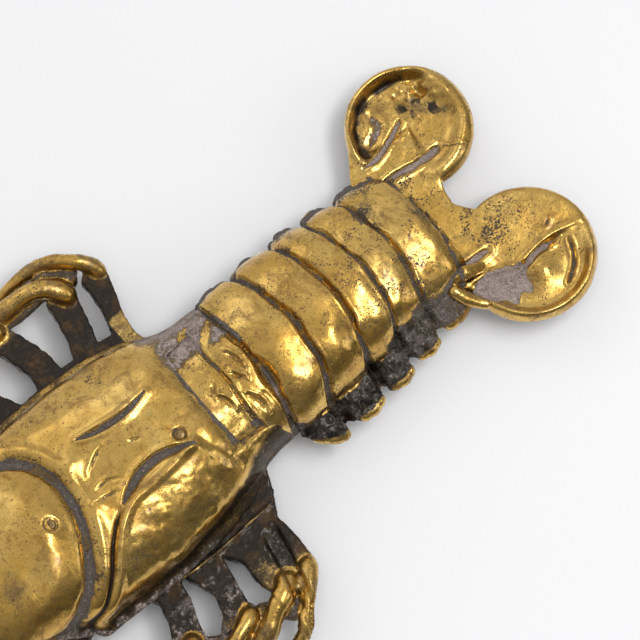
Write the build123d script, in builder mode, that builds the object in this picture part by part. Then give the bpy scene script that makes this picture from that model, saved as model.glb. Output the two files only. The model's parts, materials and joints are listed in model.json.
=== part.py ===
from build123d import *
import os
from math import cos, radians, sin, sqrt

# Cast brass lobster cracker, modelled at real size in millimetres.
# +X points to the head, +Y to the lobster's left and +Z up. The origin is on the table, under the
# middle of the bounding box. The back casting (carapace, abdomen and tail fan) is the upper lever. The
# belly casting is the lower lever and carries the legs, the claws and the head. A cross pin under the
# front of the carapace joins the two, and a jaw on each lever works just behind that pin.

# ---- driving dimensions ----
HINGE_X, HINGE_Z = 44.0, 14.0
PIN_R = 2.0
PIN_CLEARANCE = 0.05
PIN_HEAD_R, PIN_HEAD_T = 3.2, 0.9
KNUCKLE_R, KNUCKLE_HALF = 5.0, 4.0
WASHER_R, WASHER_T, WASHER_GAP = 4.5, 0.5, 0.05
EAR_R, EAR_T = 5.0, 4.2
CHANNEL_R, CHANNEL_SIDE_GAP = 6.5, 0.5
NOSE_R, NOSE_GAP = 11.0, 0.4
NOSE_EDGE_DEG = 45.0

RIM_Z = 11.5
ABDOMEN_Z = 9.5
CAVITY_FLOOR = 4.0
JAW_SEAT_Z = 22.0

BELLY_LOW, BELLY_TOP = 5.0, 8.0
TAB_TOP = 11.0
RIVET_R, RIVET_HEAD_R, RIVET_HEAD_T = 1.5, 2.8, 1.0

JAW_BACK, JAW_FRONT, JAW_HALF = -18.5, 25.5, 9.0
JAW_PITCH, JAW_TOOTH = 4.0, 1.0
UPPER_TOOTH_TIP = 17.5
LOWER_TOOTH_TIP = 11.5
# the plugs that show on the carapace: place along X and Y
REAR_PLUG = (-15.5, 4.5)
FRONT_PLUG = (18.9, 2.1)

# carapace stations, from the rear edge to the nose: x, half width at the rim, height of the crown
CARAPACE = [
    (-29.0, 20.5, 25.0),
    (-15.0, 24.8, 26.8),
    (0.0, 25.6, 27.2),
    (15.0, 25.0, 27.2),
    (30.0, 22.5, 26.5),
    (44.0, 18.5, 25.2),
    (56.0, 15.0, 25.0),
]
# cavity under the back, from the tail root to the nose, in the same terms
CAVITY = [
    (-78.0, 11.5, 15.0),
    (-60.0, 13.5, 18.5),
    (-40.0, 14.0, 20.0),
    (-29.0, 16.0, 22.0),
    (-18.0, 20.0, 25.0),
    (0.0, 21.5, 25.0),
    (15.0, 21.0, 25.0),
    (30.0, 18.5, 24.0),
    (44.0, 14.5, 21.5),
]
# abdomen segments: x of the front edge, x of the rear edge, half width, crown height, pleura reach
SEGMENTS = [
    (-27.0, -31.5, 17.0, 23.5, 0.0),
    (-31.0, -40.5, 17.5, 23.8, 21.0),
    (-40.0, -51.5, 18.5, 24.2, 25.0),
    (-51.0, -62.5, 18.5, 23.6, 25.0),
    (-62.0, -71.5, 18.0, 22.4, 24.5),
    (-71.0, -79.5, 17.5, 21.0, 24.0),
    (-79.0, -90.5, 16.0, 19.2, 22.5),
]
SEGMENT_STEP = 1.2
PLEURA_TOP = 13.5
PLEURA_HALF = 3.2

LOBE_R, LOBE_X, LOBE_Y = 15.0, -101.5, 19.0
LOBE_LOW, LOBE_TOP, LOBE_DISH = 8.5, 13.5, 2.5
LOBE_WALL = 2.6
# tail root between the last segment and the lobes, in the carapace's terms
FAN_ROOT = [(-88.0, 16.0, 18.6), (-97.0, 14.0, 14.5)]

# walking legs, from the rear: root x, knee x, knee y, mid point and tip of the outer limb
LEGS = [
    (-22.0, -24.0, 42.0, (-15.0, 51.5, 9.0), (0.0, 52.5, 1.6)),
    (-11.5, -14.5, 42.0, (-5.5, 47.5, 9.0), (10.0, 47.5, 1.6)),
    (-1.0, -1.0, 41.0, (7.0, 44.5, 9.0), (20.0, 43.5, 1.6)),
    (10.0, 13.0, 38.5, (20.0, 41.0, 9.0), (32.0, 38.0, 1.6)),
]
LEG_ROOT_Y = 24.0
LEG_BAR_W, LEG_BAR_T, LEG_BAR_Z = 6.5, 3.4, 9.2
KNEE_R, KNEE_Z = 3.5, 11.0
LIMB_R, TOE_R, WEB_R = 2.7, 1.7, 2.1
JOINT_SWELL = 0.4
BOSS_HEIGHT = 0.9
LEG_TAB = (-27.0, 21.0, 11.5, 26.5)
LEG_RIVETS_X, LEG_RIVETS_Y = (-18.0, 12.0), 13.8

CLAW_TAB = (23.0, 35.5, 10.5, 22.0)
CLAW_RIVET = (29.0, 14.0)
# claw arm seen from above, and the round joints on it: place and radius
ARM = [(24.0, 18.0), (36.0, 18.0), (49.0, 26.0), (61.0, 31.5), (61.0, 39.5), (44.0, 34.5), (30.0, 23.5)]
ARM_LOW, ARM_TOP = 4.0, 10.8
ARM_JOINTS = [((46.0, 29.5), 5.6), ((59.0, 35.5), 4.9)]
ARM_JOINT_LOW, ARM_JOINT_TOP = 3.0, 12.6
# claw seen from above, round the outside from the wrist to the wrist
CLAW = [
    (58.0, 38.5),
    (70.0, 43.5),
    (88.0, 43.0),
    (104.0, 36.5),
    (115.5, 25.5),
    (116.5, 22.5),
    (106.0, 24.0),
    (96.0, 26.5),
    (105.0, 19.5),
    (111.0, 15.5),
    (109.0, 13.5),
    (96.0, 14.5),
    (80.0, 17.0),
    (66.0, 24.0),
    (58.0, 32.0),
]
CLAW_TOP, CLAW_CREST_TOP = 13.0, 15.5
# narrower crest on top of the palm: middle and size
CLAW_CREST, CLAW_CREST_SIZE = (80.0, 30.0), (30.0, 17.0)

# head block: x, half width, half height, centre height
HEAD = [
    (51.0, 12.5, 6.5, 15.5),
    (60.0, 10.0, 6.2, 15.5),
    (68.0, 5.5, 4.0, 16.0),
    (80.0, 1.2, 1.2, 18.5),
]
HEAD_NECK = (52.0, 62.0, 8.0)
HEAD_RIVETS = [(59.0, 0.0)]
HEAD_RIVET_TOP = 12.0
EYE = (62.0, 10.4, 20.6)
EYE_R, EYE_STALK_R = 2.6, 1.1
SOCKET_IN, SOCKET_DROP = 4.0, 3.0
ANTENNA = [(66.0, 3.5, 14.5), (78.0, 8.0, 18.0), (94.0, 10.5, 21.0), (112.0, 9.5, 18.0)]
ANTENNA_R = 1.1

# lower lever under the abdomen
BELLY_HALF = [
    (62.0, 8.5),
    (50.0, 11.0),
    (36.0, 16.0),
    (10.0, 17.0),
    (-20.0, 15.5),
    (-30.0, 11.0),
    (-88.0, 8.0),
]
FOOT_X, FOOT_R = -80.0, 6.5
RIDGES_X = [-35.5, -46.0, -57.0, -67.0]
RIDGE_LOW, RIDGE_HALF = 3.4, 1.6

os.makedirs("parts", exist_ok=True)


def save(builder, label):
    builder.part.label = label
    export_step(builder.part, f"parts/{label}.step")


def arch(x, half, crown, base, floor=None):
    """Sketch of half an ellipse that stands on base, carried straight down to floor if one is given."""
    with BuildSketch(Plane.YZ.offset(x)) as section:
        with BuildLine():
            EllipticalCenterArc((0, base), half, crown - base, start_angle=0, arc_size=180)
            if floor is None:
                Line((-half, base), (half, base))
            else:
                Polyline((-half, base), (-half, floor), (half, floor), (half, base))
        make_face()
    return section.sketch


def limb(start, end, start_r, end_r, mode=Mode.ADD):
    """Adds or cuts a round bar between two points, tapered if its two radii differ."""
    run = Vector(*end) - Vector(*start)
    stand = (Align.CENTER, Align.CENTER, Align.MIN)
    with Locations(Plane(origin=start, z_dir=run)):
        if start_r == end_r:
            Cylinder(start_r, run.length, align=stand, mode=mode)
        else:
            Cone(start_r, end_r, run.length, align=stand, mode=mode)


def drum(radius, low_y, high_y, mode=Mode.ADD):
    """Adds or cuts a cylinder on the hinge axis between two places along Y."""
    with BuildSketch(Plane.XZ.offset(-low_y)) as disc:
        with Locations((HINGE_X, HINGE_Z)):
            Circle(radius)
    extrude(disc.sketch, amount=-(high_y - low_y), mode=mode)


def slab(low, high, mode=Mode.ADD):
    """Adds or cuts a block between two corners."""
    centre = tuple((a + b) / 2 for a, b in zip(low, high))
    with Locations(centre):
        Box(*[b - a for a, b in zip(low, high)], mode=mode)


def upright_pins(places, radius, low, high, mode=Mode.ADD):
    """Adds or cuts upright round bars."""
    with BuildSketch(Plane.XY.offset(low)) as discs:
        with Locations(*places):
            Circle(radius)
    extrude(discs.sketch, amount=high - low, mode=mode)


def boss(centre, radius):
    """Adds a short upright drum where two limbs meet."""
    x, y, z = centre
    upright_pins([(x, y)], radius, z - BOSS_HEIGHT * radius, z + BOSS_HEIGHT * radius)


def crown_height(x, y):
    """Height of the carapace surface over a place, between the two nearest stations."""
    for (x0, half0, crown0), (x1, half1, crown1) in zip(CARAPACE, CARAPACE[1:]):
        if x0 <= x <= x1:
            share = (x - x0) / (x1 - x0)
            half = half0 + share * (half1 - half0)
            crown = crown0 + share * (crown1 - crown0)
            return RIM_Z + (crown - RIM_Z) * sqrt(1 - (y / half) ** 2)
    raise ValueError("the place is off the carapace")


# ---- places worked out from the dimensions ----
washer_in = KNUCKLE_HALF + WASHER_GAP
washer_out = washer_in + WASHER_T
ear_in = washer_out + WASHER_GAP
ear_out = ear_in + EAR_T
channel_half = ear_out + PIN_HEAD_T + CHANNEL_SIDE_GAP
nose_edge = (
    HINGE_X + NOSE_R * cos(radians(NOSE_EDGE_DEG)),
    HINGE_Z + NOSE_R * sin(radians(NOSE_EDGE_DEG)),
)
BEYOND = 60.0

# ---- back casting: carapace, abdomen and tail fan in one piece ----
with BuildPart() as carapace:
    loft([arch(x, half, crown, RIM_Z) for x, half, crown in CARAPACE])
    # the nose is round about the hinge pin and stops at a sloping front edge
    with BuildSketch(Plane.XZ):
        with BuildLine():
            Line((HINGE_X, HINGE_Z), nose_edge)
            CenterArc((HINGE_X, HINGE_Z), NOSE_R, NOSE_EDGE_DEG, 90 - NOSE_EDGE_DEG)
            Polyline(
                (HINGE_X, HINGE_Z + NOSE_R),
                (HINGE_X, BEYOND),
                (HINGE_X + BEYOND, BEYOND),
                (HINGE_X + BEYOND, 0),
                (HINGE_X, 0),
                (HINGE_X, HINGE_Z),
            )
        make_face()
    extrude(amount=BEYOND, both=True, mode=Mode.SUBTRACT)

with BuildPart() as cavity:
    loft([arch(x, half, crown, RIM_Z, CAVITY_FLOOR) for x, half, crown in CAVITY], ruled=True)
    # flat seat for the upper jaw
    slab((-BEYOND * 2, -BEYOND, JAW_SEAT_Z), (BEYOND * 2, BEYOND, BEYOND), Mode.SUBTRACT)


def abdomen_segment(front, rear, half, crown, reach):
    """One ring of the abdomen, which swells to its rear edge, with its two pleura."""
    with BuildPart() as segment:
        rear_arch = arch(rear, half, crown, ABDOMEN_Z)
        front_arch = arch(front, half - SEGMENT_STEP, crown - SEGMENT_STEP, ABDOMEN_Z)
        loft([rear_arch, front_arch])
        if reach:
            with BuildSketch(Plane.XY.offset(ABDOMEN_Z)):
                with Locations(((front + rear) / 2, 0)):
                    SlotOverall(2 * reach, 2 * PLEURA_HALF, rotation=90)
            extrude(amount=PLEURA_TOP - ABDOMEN_Z)
    return segment.part


segments = [abdomen_segment(*row) for row in SEGMENTS]
lobe_places = [(LOBE_X, LOBE_Y), (LOBE_X, -LOBE_Y)]

# tail fan: a root block and two dished lobes
with BuildPart() as fan:
    with BuildSketch(Plane.XY.offset(LOBE_LOW)):
        with Locations(*lobe_places):
            Circle(LOBE_R)
    extrude(amount=LOBE_TOP - LOBE_LOW)
    with BuildSketch(Plane.XY.offset(LOBE_TOP)):
        with Locations(*lobe_places):
            Circle(LOBE_R - LOBE_WALL)
    extrude(amount=-LOBE_DISH, mode=Mode.SUBTRACT)
    loft([arch(x, half, crown, LOBE_LOW) for x, half, crown in FAN_ROOT])

with BuildPart() as back_casting:
    add(carapace.part)
    for segment in segments:
        add(segment)
    add(fan.part)
    add(cavity.part, mode=Mode.SUBTRACT)
    # room for the ears, then the knuckle that hangs from the crown between them
    drum(CHANNEL_R, -channel_half, channel_half, Mode.SUBTRACT)
    slab(
        (HINGE_X - 12, -channel_half, 0),
        (HINGE_X, channel_half, HINGE_Z + CHANNEL_R),
        Mode.SUBTRACT,
    )
    drum(KNUCKLE_R, -KNUCKLE_HALF, KNUCKLE_HALF)
    slab(
        (HINGE_X - KNUCKLE_R, -KNUCKLE_HALF, HINGE_Z),
        (HINGE_X + KNUCKLE_R, KNUCKLE_HALF, HINGE_Z + NOSE_R - 2.0),
    )
    drum(PIN_R + PIN_CLEARANCE, -BEYOND / 2, BEYOND / 2, Mode.SUBTRACT)
    upright_pins([REAR_PLUG, FRONT_PLUG], RIVET_R, JAW_SEAT_Z - 1, BEYOND, Mode.SUBTRACT)
save(back_casting, "back_casting")

# ---- jaws: toothed bars that face each other ----


def toothed_bar(label, seat, tip, rivets):
    """Bar from its seat to its tooth tips, with ridges across it and rivet holes."""
    out = 1 if tip > seat else -1
    root = tip - out * JAW_TOOTH
    count = int((JAW_FRONT - JAW_BACK) / JAW_PITCH)
    points = [(JAW_BACK, seat), (JAW_BACK, root)]
    for i in range(count):
        points.append((JAW_BACK + (i + 0.5) * JAW_PITCH, tip))
        points.append((JAW_BACK + (i + 1) * JAW_PITCH, root))
    points.append((JAW_BACK + count * JAW_PITCH, seat))
    with BuildPart() as bar:
        with BuildSketch(Plane.XZ):
            with BuildLine():
                Polyline(*points, close=True)
            make_face()
        extrude(amount=JAW_HALF, both=True)
        upright_pins(rivets, RIVET_R, min(seat, tip) - 1, max(seat, tip) + 1, Mode.SUBTRACT)
    save(bar, label)


lower_rivets = [(JAW_BACK + 7.0, 0.0), (JAW_FRONT - 9.0, 0.0)]
toothed_bar("upper_jaw", JAW_SEAT_Z, UPPER_TOOTH_TIP, [REAR_PLUG, FRONT_PLUG])
toothed_bar("lower_jaw", BELLY_TOP, LOWER_TOOTH_TIP, lower_rivets)

with BuildPart() as upper_jaw_rivets:
    for x, y in (REAR_PLUG, FRONT_PLUG):
        upright_pins([(x, y)], RIVET_R, UPPER_TOOTH_TIP + JAW_TOOTH, crown_height(x, y) + 0.1)
save(upper_jaw_rivets, "upper_jaw_rivets")


def belly_rivets(label, places, top):
    """Rivets with their heads under the belly casting."""
    with BuildPart() as rivets:
        upright_pins(places, RIVET_R, BELLY_LOW, top)
        upright_pins(places, RIVET_HEAD_R, BELLY_LOW - RIVET_HEAD_T, BELLY_LOW)
    save(rivets, label)


belly_rivets("lower_jaw_rivets", lower_rivets, LOWER_TOOTH_TIP - JAW_TOOTH)

# ---- belly casting: breast plate, hinge ears and the lower lever ----
leg_rivets = [(x, side * LEG_RIVETS_Y) for x in LEG_RIVETS_X for side in (1, -1)]
claw_rivets = [(CLAW_RIVET[0], side * CLAW_RIVET[1]) for side in (1, -1)]
with BuildPart() as belly_casting:
    with BuildSketch(Plane.XY.offset(BELLY_LOW)):
        with BuildLine():
            Polyline(*BELLY_HALF, *[(x, -y) for x, y in reversed(BELLY_HALF)], close=True)
        make_face()
    extrude(amount=BELLY_TOP - BELLY_LOW)
    for side in (1, -1):
        low, high = sorted((side * ear_in, side * ear_out))
        drum(EAR_R, low, high)
        slab((HINGE_X - EAR_R, low, BELLY_LOW), (HINGE_X + EAR_R, high, HINGE_Z))
    for x in RIDGES_X:
        slab((x - RIDGE_HALF, -9.0, RIDGE_LOW), (x + RIDGE_HALF, 9.0, BELLY_LOW))
    upright_pins([(FOOT_X, 0)], FOOT_R, 0, BELLY_LOW)
    drum(PIN_R, -BEYOND / 2, BEYOND / 2, Mode.SUBTRACT)
    rivet_holes = leg_rivets + claw_rivets + lower_rivets + HEAD_RIVETS
    upright_pins(rivet_holes, RIVET_R, BELLY_LOW - 1, BELLY_TOP + 1, Mode.SUBTRACT)
save(belly_casting, "belly_casting")

# ---- hinge pin and washers ----
with BuildPart() as hinge_pin:
    drum(PIN_R, -ear_out, ear_out)
    drum(PIN_HEAD_R, ear_out, ear_out + PIN_HEAD_T)
    drum(PIN_HEAD_R, -ear_out - PIN_HEAD_T, -ear_out)
save(hinge_pin, "hinge_pin")

with BuildPart() as hinge_washers:
    drum(WASHER_R, washer_in, washer_out)
    drum(WASHER_R, -washer_out, -washer_in)
    drum(PIN_R, -BEYOND / 2, BEYOND / 2, Mode.SUBTRACT)
save(hinge_washers, "hinge_washers")


# ---- leg castings: four legs on a tab that is riveted to the belly ----
def leg_bar(root, knee):
    """Adds the flat inner bar of a leg."""
    run = Vector(*knee) - Vector(*root)
    with BuildSketch(Plane(origin=root, x_dir=(1, 0, 0), z_dir=run)) as section:
        Rectangle(LEG_BAR_W, LEG_BAR_T)
    extrude(section.sketch, amount=run.length)


def tab(outline, side, rivets):
    """Adds the flat tab that a limb casting is riveted down by."""
    back, front, inner, outer = outline
    low_y, high_y = sorted((side * inner, side * outer))
    slab((back, low_y, BELLY_TOP), (front, high_y, TAB_TOP))
    upright_pins(rivets, RIVET_R, BELLY_TOP, TAB_TOP, Mode.SUBTRACT)


def level_soles():
    """Cuts away what would be below the table."""
    slab((-BEYOND * 3, -BEYOND * 2, -BEYOND), (BEYOND * 3, BEYOND * 2, 0), Mode.SUBTRACT)


def leg_casting(label, side, rivets):
    with BuildPart() as legs:
        tab(LEG_TAB, side, rivets)
        knees = []
        for root_x, knee_x, knee_y, (middle_x, middle_y, middle_z), (toe_x, toe_y, toe_z) in LEGS:
            knee = (knee_x, side * knee_y, KNEE_Z)
            middle = (middle_x, side * middle_y, middle_z)
            toe = (toe_x, side * toe_y, toe_z)
            leg_bar((root_x, side * LEG_ROOT_Y, LEG_BAR_Z), knee)
            boss(knee, KNEE_R)
            limb(knee, middle, LIMB_R, LIMB_R)
            boss(middle, LIMB_R + JOINT_SWELL)
            limb(middle, toe, LIMB_R, TOE_R)
            boss(toe, TOE_R + JOINT_SWELL)
            knees.append(knee)
        # the web that joins the knees of neighbouring legs
        for one, other in zip(knees, knees[1:]):
            limb(one, other, WEB_R, WEB_R)
        level_soles()
    save(legs, label)


# ---- claw castings: arm, palm and two fingers ----
def palm(side):
    """Flat palm that parts into two fingers, with an oval crest on top."""
    with BuildPart() as shape:
        with BuildSketch():
            with BuildLine():
                Polyline(*[(x, side * y) for x, y in CLAW], close=True)
            make_face()
        extrude(amount=CLAW_TOP)
        with BuildSketch(Plane.XY.offset(CLAW_TOP)):
            with Locations((CLAW_CREST[0], side * CLAW_CREST[1])):
                SlotOverall(*CLAW_CREST_SIZE)
        extrude(amount=CLAW_CREST_TOP - CLAW_TOP)
    return shape.part


def claw_casting(label, side, rivets):
    with BuildPart() as claw:
        with BuildSketch(Plane.XY.offset(ARM_LOW)) as arm:
            with BuildLine():
                Polyline(*[(x, side * y) for x, y in ARM], close=True)
            make_face()
        extrude(arm.sketch, amount=ARM_TOP - ARM_LOW)
        for (x, y), radius in ARM_JOINTS:
            upright_pins([(x, side * y)], radius, ARM_JOINT_LOW, ARM_JOINT_TOP)
        add(palm(side))
        tab(CLAW_TAB, side, rivets)
    save(claw, label)


for name, side in (("left", 1), ("right", -1)):
    leg_places = [(x, side * LEG_RIVETS_Y) for x in LEG_RIVETS_X]
    claw_places = [(CLAW_RIVET[0], side * CLAW_RIVET[1])]
    leg_casting(f"{name}_leg_casting", side, leg_places)
    claw_casting(f"{name}_claw_casting", side, claw_places)
    belly_rivets(f"{name}_leg_rivets", leg_places, TAB_TOP)
    belly_rivets(f"{name}_claw_rivet", claw_places, TAB_TOP)

# ---- head: block in front of the nose, with sockets for the eyes and antennae ----
with BuildPart() as head_casting:
    sections = []
    for x, half, height, middle in HEAD:
        with BuildSketch(Plane.YZ.offset(x)) as section:
            with Locations((0, middle)):
                Ellipse(half, height)
        sections.append(section.sketch)
    loft(sections)
    slab((HEAD_NECK[0], -HEAD_NECK[2], BELLY_TOP), (HEAD_NECK[1], HEAD_NECK[2], HINGE_Z))
    slab((0, -BEYOND, -BEYOND), (BEYOND * 2, BEYOND, BELLY_TOP), Mode.SUBTRACT)
    # hollow rear face that the nose turns in
    drum(NOSE_R + NOSE_GAP, -BEYOND / 2, BEYOND / 2, Mode.SUBTRACT)
    upright_pins(HEAD_RIVETS, RIVET_R, 0, HEAD_RIVET_TOP, Mode.SUBTRACT)
    for side in (1, -1):
        eye = (EYE[0], side * EYE[1], EYE[2])
        socket = (EYE[0], side * SOCKET_IN, EYE[2] - SOCKET_DROP)
        limb(socket, eye, EYE_STALK_R, EYE_STALK_R, Mode.SUBTRACT)
        root, tip = [(x, side * y, z) for x, y, z in ANTENNA[:2]]
        limb(root, tip, ANTENNA_R, ANTENNA_R, Mode.SUBTRACT)
save(head_casting, "head_casting")
belly_rivets("head_rivet", HEAD_RIVETS, HEAD_RIVET_TOP)

for name, side in (("left", 1), ("right", -1)):
    centre = (EYE[0], side * EYE[1], EYE[2])
    inner = (EYE[0], side * SOCKET_IN, EYE[2] - SOCKET_DROP)
    with BuildPart() as eye:
        limb(inner, centre, EYE_STALK_R, EYE_STALK_R)
        with Locations(centre):
            Sphere(EYE_R)
    save(eye, f"{name}_eye")
    points = [(x, side * y, z) for x, y, z in ANTENNA]
    with BuildPart() as antenna:
        limb(points[0], points[1], ANTENNA_R, ANTENNA_R)
        limb(points[1], points[2], ANTENNA_R, ANTENNA_R * 0.85)
        limb(points[2], points[3], ANTENNA_R * 0.85, ANTENNA_R * 0.6)
        boss(points[1], ANTENNA_R + 0.1)
        boss(points[2], ANTENNA_R)
    save(antenna, f"{name}_antenna")
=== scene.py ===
import json
import math

import bmesh
import bpy
import numpy as np
from mathutils import Matrix, Vector
from mathutils.bvhtree import BVHTree


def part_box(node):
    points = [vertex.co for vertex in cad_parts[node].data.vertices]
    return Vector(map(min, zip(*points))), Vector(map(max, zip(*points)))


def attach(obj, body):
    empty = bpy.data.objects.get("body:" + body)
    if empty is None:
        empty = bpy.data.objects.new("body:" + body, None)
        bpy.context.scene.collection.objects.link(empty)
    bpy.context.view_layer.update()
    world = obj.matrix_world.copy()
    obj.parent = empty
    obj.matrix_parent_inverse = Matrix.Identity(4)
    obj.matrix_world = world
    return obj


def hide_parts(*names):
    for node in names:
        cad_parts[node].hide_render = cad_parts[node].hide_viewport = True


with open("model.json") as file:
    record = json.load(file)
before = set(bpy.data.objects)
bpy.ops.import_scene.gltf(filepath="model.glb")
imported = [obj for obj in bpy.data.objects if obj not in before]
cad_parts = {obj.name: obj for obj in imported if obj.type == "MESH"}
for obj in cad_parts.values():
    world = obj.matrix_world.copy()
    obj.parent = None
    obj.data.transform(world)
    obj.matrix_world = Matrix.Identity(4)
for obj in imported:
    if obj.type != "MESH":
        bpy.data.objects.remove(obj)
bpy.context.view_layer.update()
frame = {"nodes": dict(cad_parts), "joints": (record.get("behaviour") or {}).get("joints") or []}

MM = 0.001
HINGE = np.array(frame["joints"][0]["pos_m"]) / MM

# ---------------------------------------------------------------- numbers and noise


def smooth(a, b, x):
    """0 below a, 1 above b, smooth between."""
    s = np.clip((x - a) / (b - a), 0.0, 1.0)
    return s * s * (3 - 2 * s)


def hashed(i, j, k, seed):
    """A repeatable number in 0..1 for each lattice corner."""
    h = (i * 374761393 + j * 668265263 + k * 69069069 + seed * 1274126177) & 0xFFFFFFFF
    h = ((h ^ (h >> 13)) * 1274126177) & 0xFFFFFFFF
    h = ((h ^ (h >> 16)) * 374761393) & 0xFFFFFFFF
    return (h ^ (h >> 15)) / 4294967296.0


def noise(points, size, seed=0):
    """Smooth noise in -1..1 whose features are about size across."""
    q = points / size
    c = np.floor(q).astype(np.int64)
    f = q - c
    f = f * f * f * (f * (f * 6 - 15) + 10)
    total = 0.0
    for dx in (0, 1):
        for dy in (0, 1):
            for dz in (0, 1):
                w = (
                    (f[..., 0] if dx else 1 - f[..., 0])
                    * (f[..., 1] if dy else 1 - f[..., 1])
                    * (f[..., 2] if dz else 1 - f[..., 2])
                )
                total = total + w * hashed(c[..., 0] + dx, c[..., 1] + dy, c[..., 2] + dz, seed)
    return total * 2 - 1


def spline(points, count=40):
    """Points on a smooth curve through the given points."""
    p = np.array(points, float)
    p = np.vstack([2 * p[0] - p[1], p, 2 * p[-1] - p[-2]])
    spans = len(p) - 3
    out = []
    for s in np.linspace(0, spans - 1e-9, count):
        i = int(s)
        u = s - i
        a, b, c, d = p[i : i + 4]
        out.append(
            0.5
            * (2 * b + (c - a) * u + (2 * a - 5 * b + 4 * c - d) * u**2 + (3 * b - a - 3 * c + d) * u**3)
        )
    return np.array(out)


def near_curve(x, y, points, count=40):
    """(distance, signed side, place along in 0..1) of each (x, y) from a smooth curve in plan."""
    line = spline(points, count)
    best = np.full(x.shape, 1e9)
    side = np.ones(x.shape)
    along = np.zeros(x.shape)
    for i in range(len(line) - 1):
        a, b = line[i], line[i + 1]
        d = b - a
        length2 = max(float(d @ d), 1e-12)
        s = np.clip(((x - a[0]) * d[0] + (y - a[1]) * d[1]) / length2, 0, 1)
        ex, ey = x - a[0] - s * d[0], y - a[1] - s * d[1]
        dist = np.hypot(ex, ey)
        closer = dist < best
        best = np.where(closer, dist, best)
        side = np.where(closer, np.sign(d[0] * ey - d[1] * ex), side)
        along = np.where(closer, (i + s) / (len(line) - 1), along)
    return best, side, along


def ridge_profile(distance, width):
    """1 at distance 0, and a smooth fall to 0 over about twice the width."""
    return np.exp(-((distance / width) ** 2))


def spot(x, y, at, size, rough=0.0):
    """1 at a place in plan, and a smooth fall to 0 over about twice the size in x and in y."""
    return ridge_profile(np.hypot((x - at[0]) / size[0], (y - at[1]) / size[1]) + rough, 1.0)


def tapered(along, slope, least):
    """1 along most of a mark, and down to least at both ends."""
    return np.clip(slope * np.minimum(along, 1 - along) + least, 0, 1)


def signed(distance, side, chosen):
    """Distance from a curve, positive on the side that the chosen points lie on."""
    value = distance * side
    return -value if np.mean(value[chosen]) < 0 else value


def lumps(points, strong=1.0):
    """Gentle waves of a hand-finished casting, in millimetres."""
    return strong * (
        0.32 * noise(points, 9.0, 3) + 0.12 * noise(points, 4.2, 5) + 0.03 * noise(points, 1.9, 7)
    )


# ---------------------------------------------------------------- mesh making


def box_mm(name):
    """Lowest and highest corner of a CAD node, in millimetres."""
    return [np.array(corner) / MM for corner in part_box(name)]


def paint(mesh, **marks):
    """Gives each point of a mesh the numbers from 0 to 1 that cast_brass reads."""
    for key, values in marks.items():
        layer = mesh.attributes.new(key, "FLOAT", "POINT")
        layer.data.foreach_set("value", np.asarray(values, dtype=np.float32).ravel())


def add_object(name, mesh):
    obj = bpy.data.objects.new(name, mesh)
    bpy.context.scene.collection.objects.link(obj)
    return obj


def new_object(name, vertices_mm, faces, smooth_shade=True, **marks):
    """A closed mesh object from points in millimetres, with its faces turned outwards."""
    mesh = bpy.data.meshes.new(name)
    mesh.from_pydata((np.asarray(vertices_mm) * MM).tolist(), [], faces)
    paint(mesh, **marks)
    mesh.validate()
    if smooth_shade:
        mesh.polygons.foreach_set("use_smooth", [True] * len(mesh.polygons))
    mesh.update()
    bm = bmesh.new()
    bm.from_mesh(mesh)
    bmesh.ops.recalc_face_normals(bm, faces=bm.faces)
    bm.to_mesh(mesh)
    bm.free()
    return add_object(name, mesh)


def grid_normals(p):
    """Unit normals of an arched grid of points, turned so that they point up in the middle."""
    n = np.cross(np.gradient(p, axis=0), np.gradient(p, axis=1))
    n = n / np.maximum(np.linalg.norm(n, axis=2, keepdims=True), 1e-9)
    return -n if n[n.shape[0] // 2, n.shape[1] // 2, 2] < 0 else n


def quads(rows, columns, first=0, flip=False):
    """Faces of a grid of points that starts at index first."""
    i, j = np.meshgrid(np.arange(rows - 1), np.arange(columns - 1), indexing="ij")
    a = (i * columns + j + first).ravel()
    b, c, d = a + 1, a + columns + 1, a + columns
    f = np.stack([a, d, c, b] if flip else [a, b, c, d], axis=1)
    return f.tolist()


# marks on the inner side of a shell, which isn't polished
HIDDEN = {"grime": 0.75, "pits": 0.75, "soot": 0.75, "dull": 0.0, "chalk": 0.0}


def shell(name, outer, inner, **marks):
    """Closed object between an outer and an inner grid of the same size."""
    rows, columns = outer.shape[:2]
    count = rows * columns
    faces = quads(rows, columns) + quads(rows, columns, count, flip=True)
    ends, sides = (0, rows - 1), (0, columns - 1)
    edges = [(i * columns + j, i * columns + j + 1, i > 0) for j in range(columns - 1) for i in ends]
    edges += [(i * columns + j, (i + 1) * columns + j, j == 0) for i in range(rows - 1) for j in sides]
    for a, b, turn in edges:
        face = [a, a + count, b + count, b]
        faces.append(face[::-1] if turn else face)
    vertices = np.vstack([outer.reshape(-1, 3), inner.reshape(-1, 3)])
    both = {key: np.concatenate([v.ravel(), np.full(count, HIDDEN[key])]) for key, v in marks.items()}
    return new_object(name, vertices, faces, **both)


def read_points(mesh):
    """Points in millimetres and unit normals of a mesh."""
    p = np.empty(len(mesh.vertices) * 3, np.float32)
    mesh.vertices.foreach_get("co", p)
    n = np.empty(len(mesh.vertices) * 3, np.float32)
    mesh.vertices.foreach_get("normal", n)
    return p.reshape(-1, 3).astype(float) / MM, n.reshape(-1, 3).astype(float)


def write_points(mesh, points_mm):
    """Puts moved points back into their mesh."""
    mesh.vertices.foreach_set("co", (points_mm * MM).astype(np.float32).ravel())
    mesh.update()


def barrel(rings, sides):
    """Faces round a stack of rings of vertices, with a flat face on both ends."""
    faces = []
    for i in range(rings - 1):
        for k in range(sides):
            a, b = i * sides + k, i * sides + (k + 1) % sides
            faces.append([a, b, b + sides, a + sides])
    faces.append(list(range(sides))[::-1])
    faces.append([(rings - 1) * sides + k for k in range(sides)])
    return faces


def turns(sides):
    """(cosine, sine) of evenly spaced angles round a circle."""
    return [(math.cos(2 * math.pi * k / sides), math.sin(2 * math.pi * k / sides)) for k in range(sides)]


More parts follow.
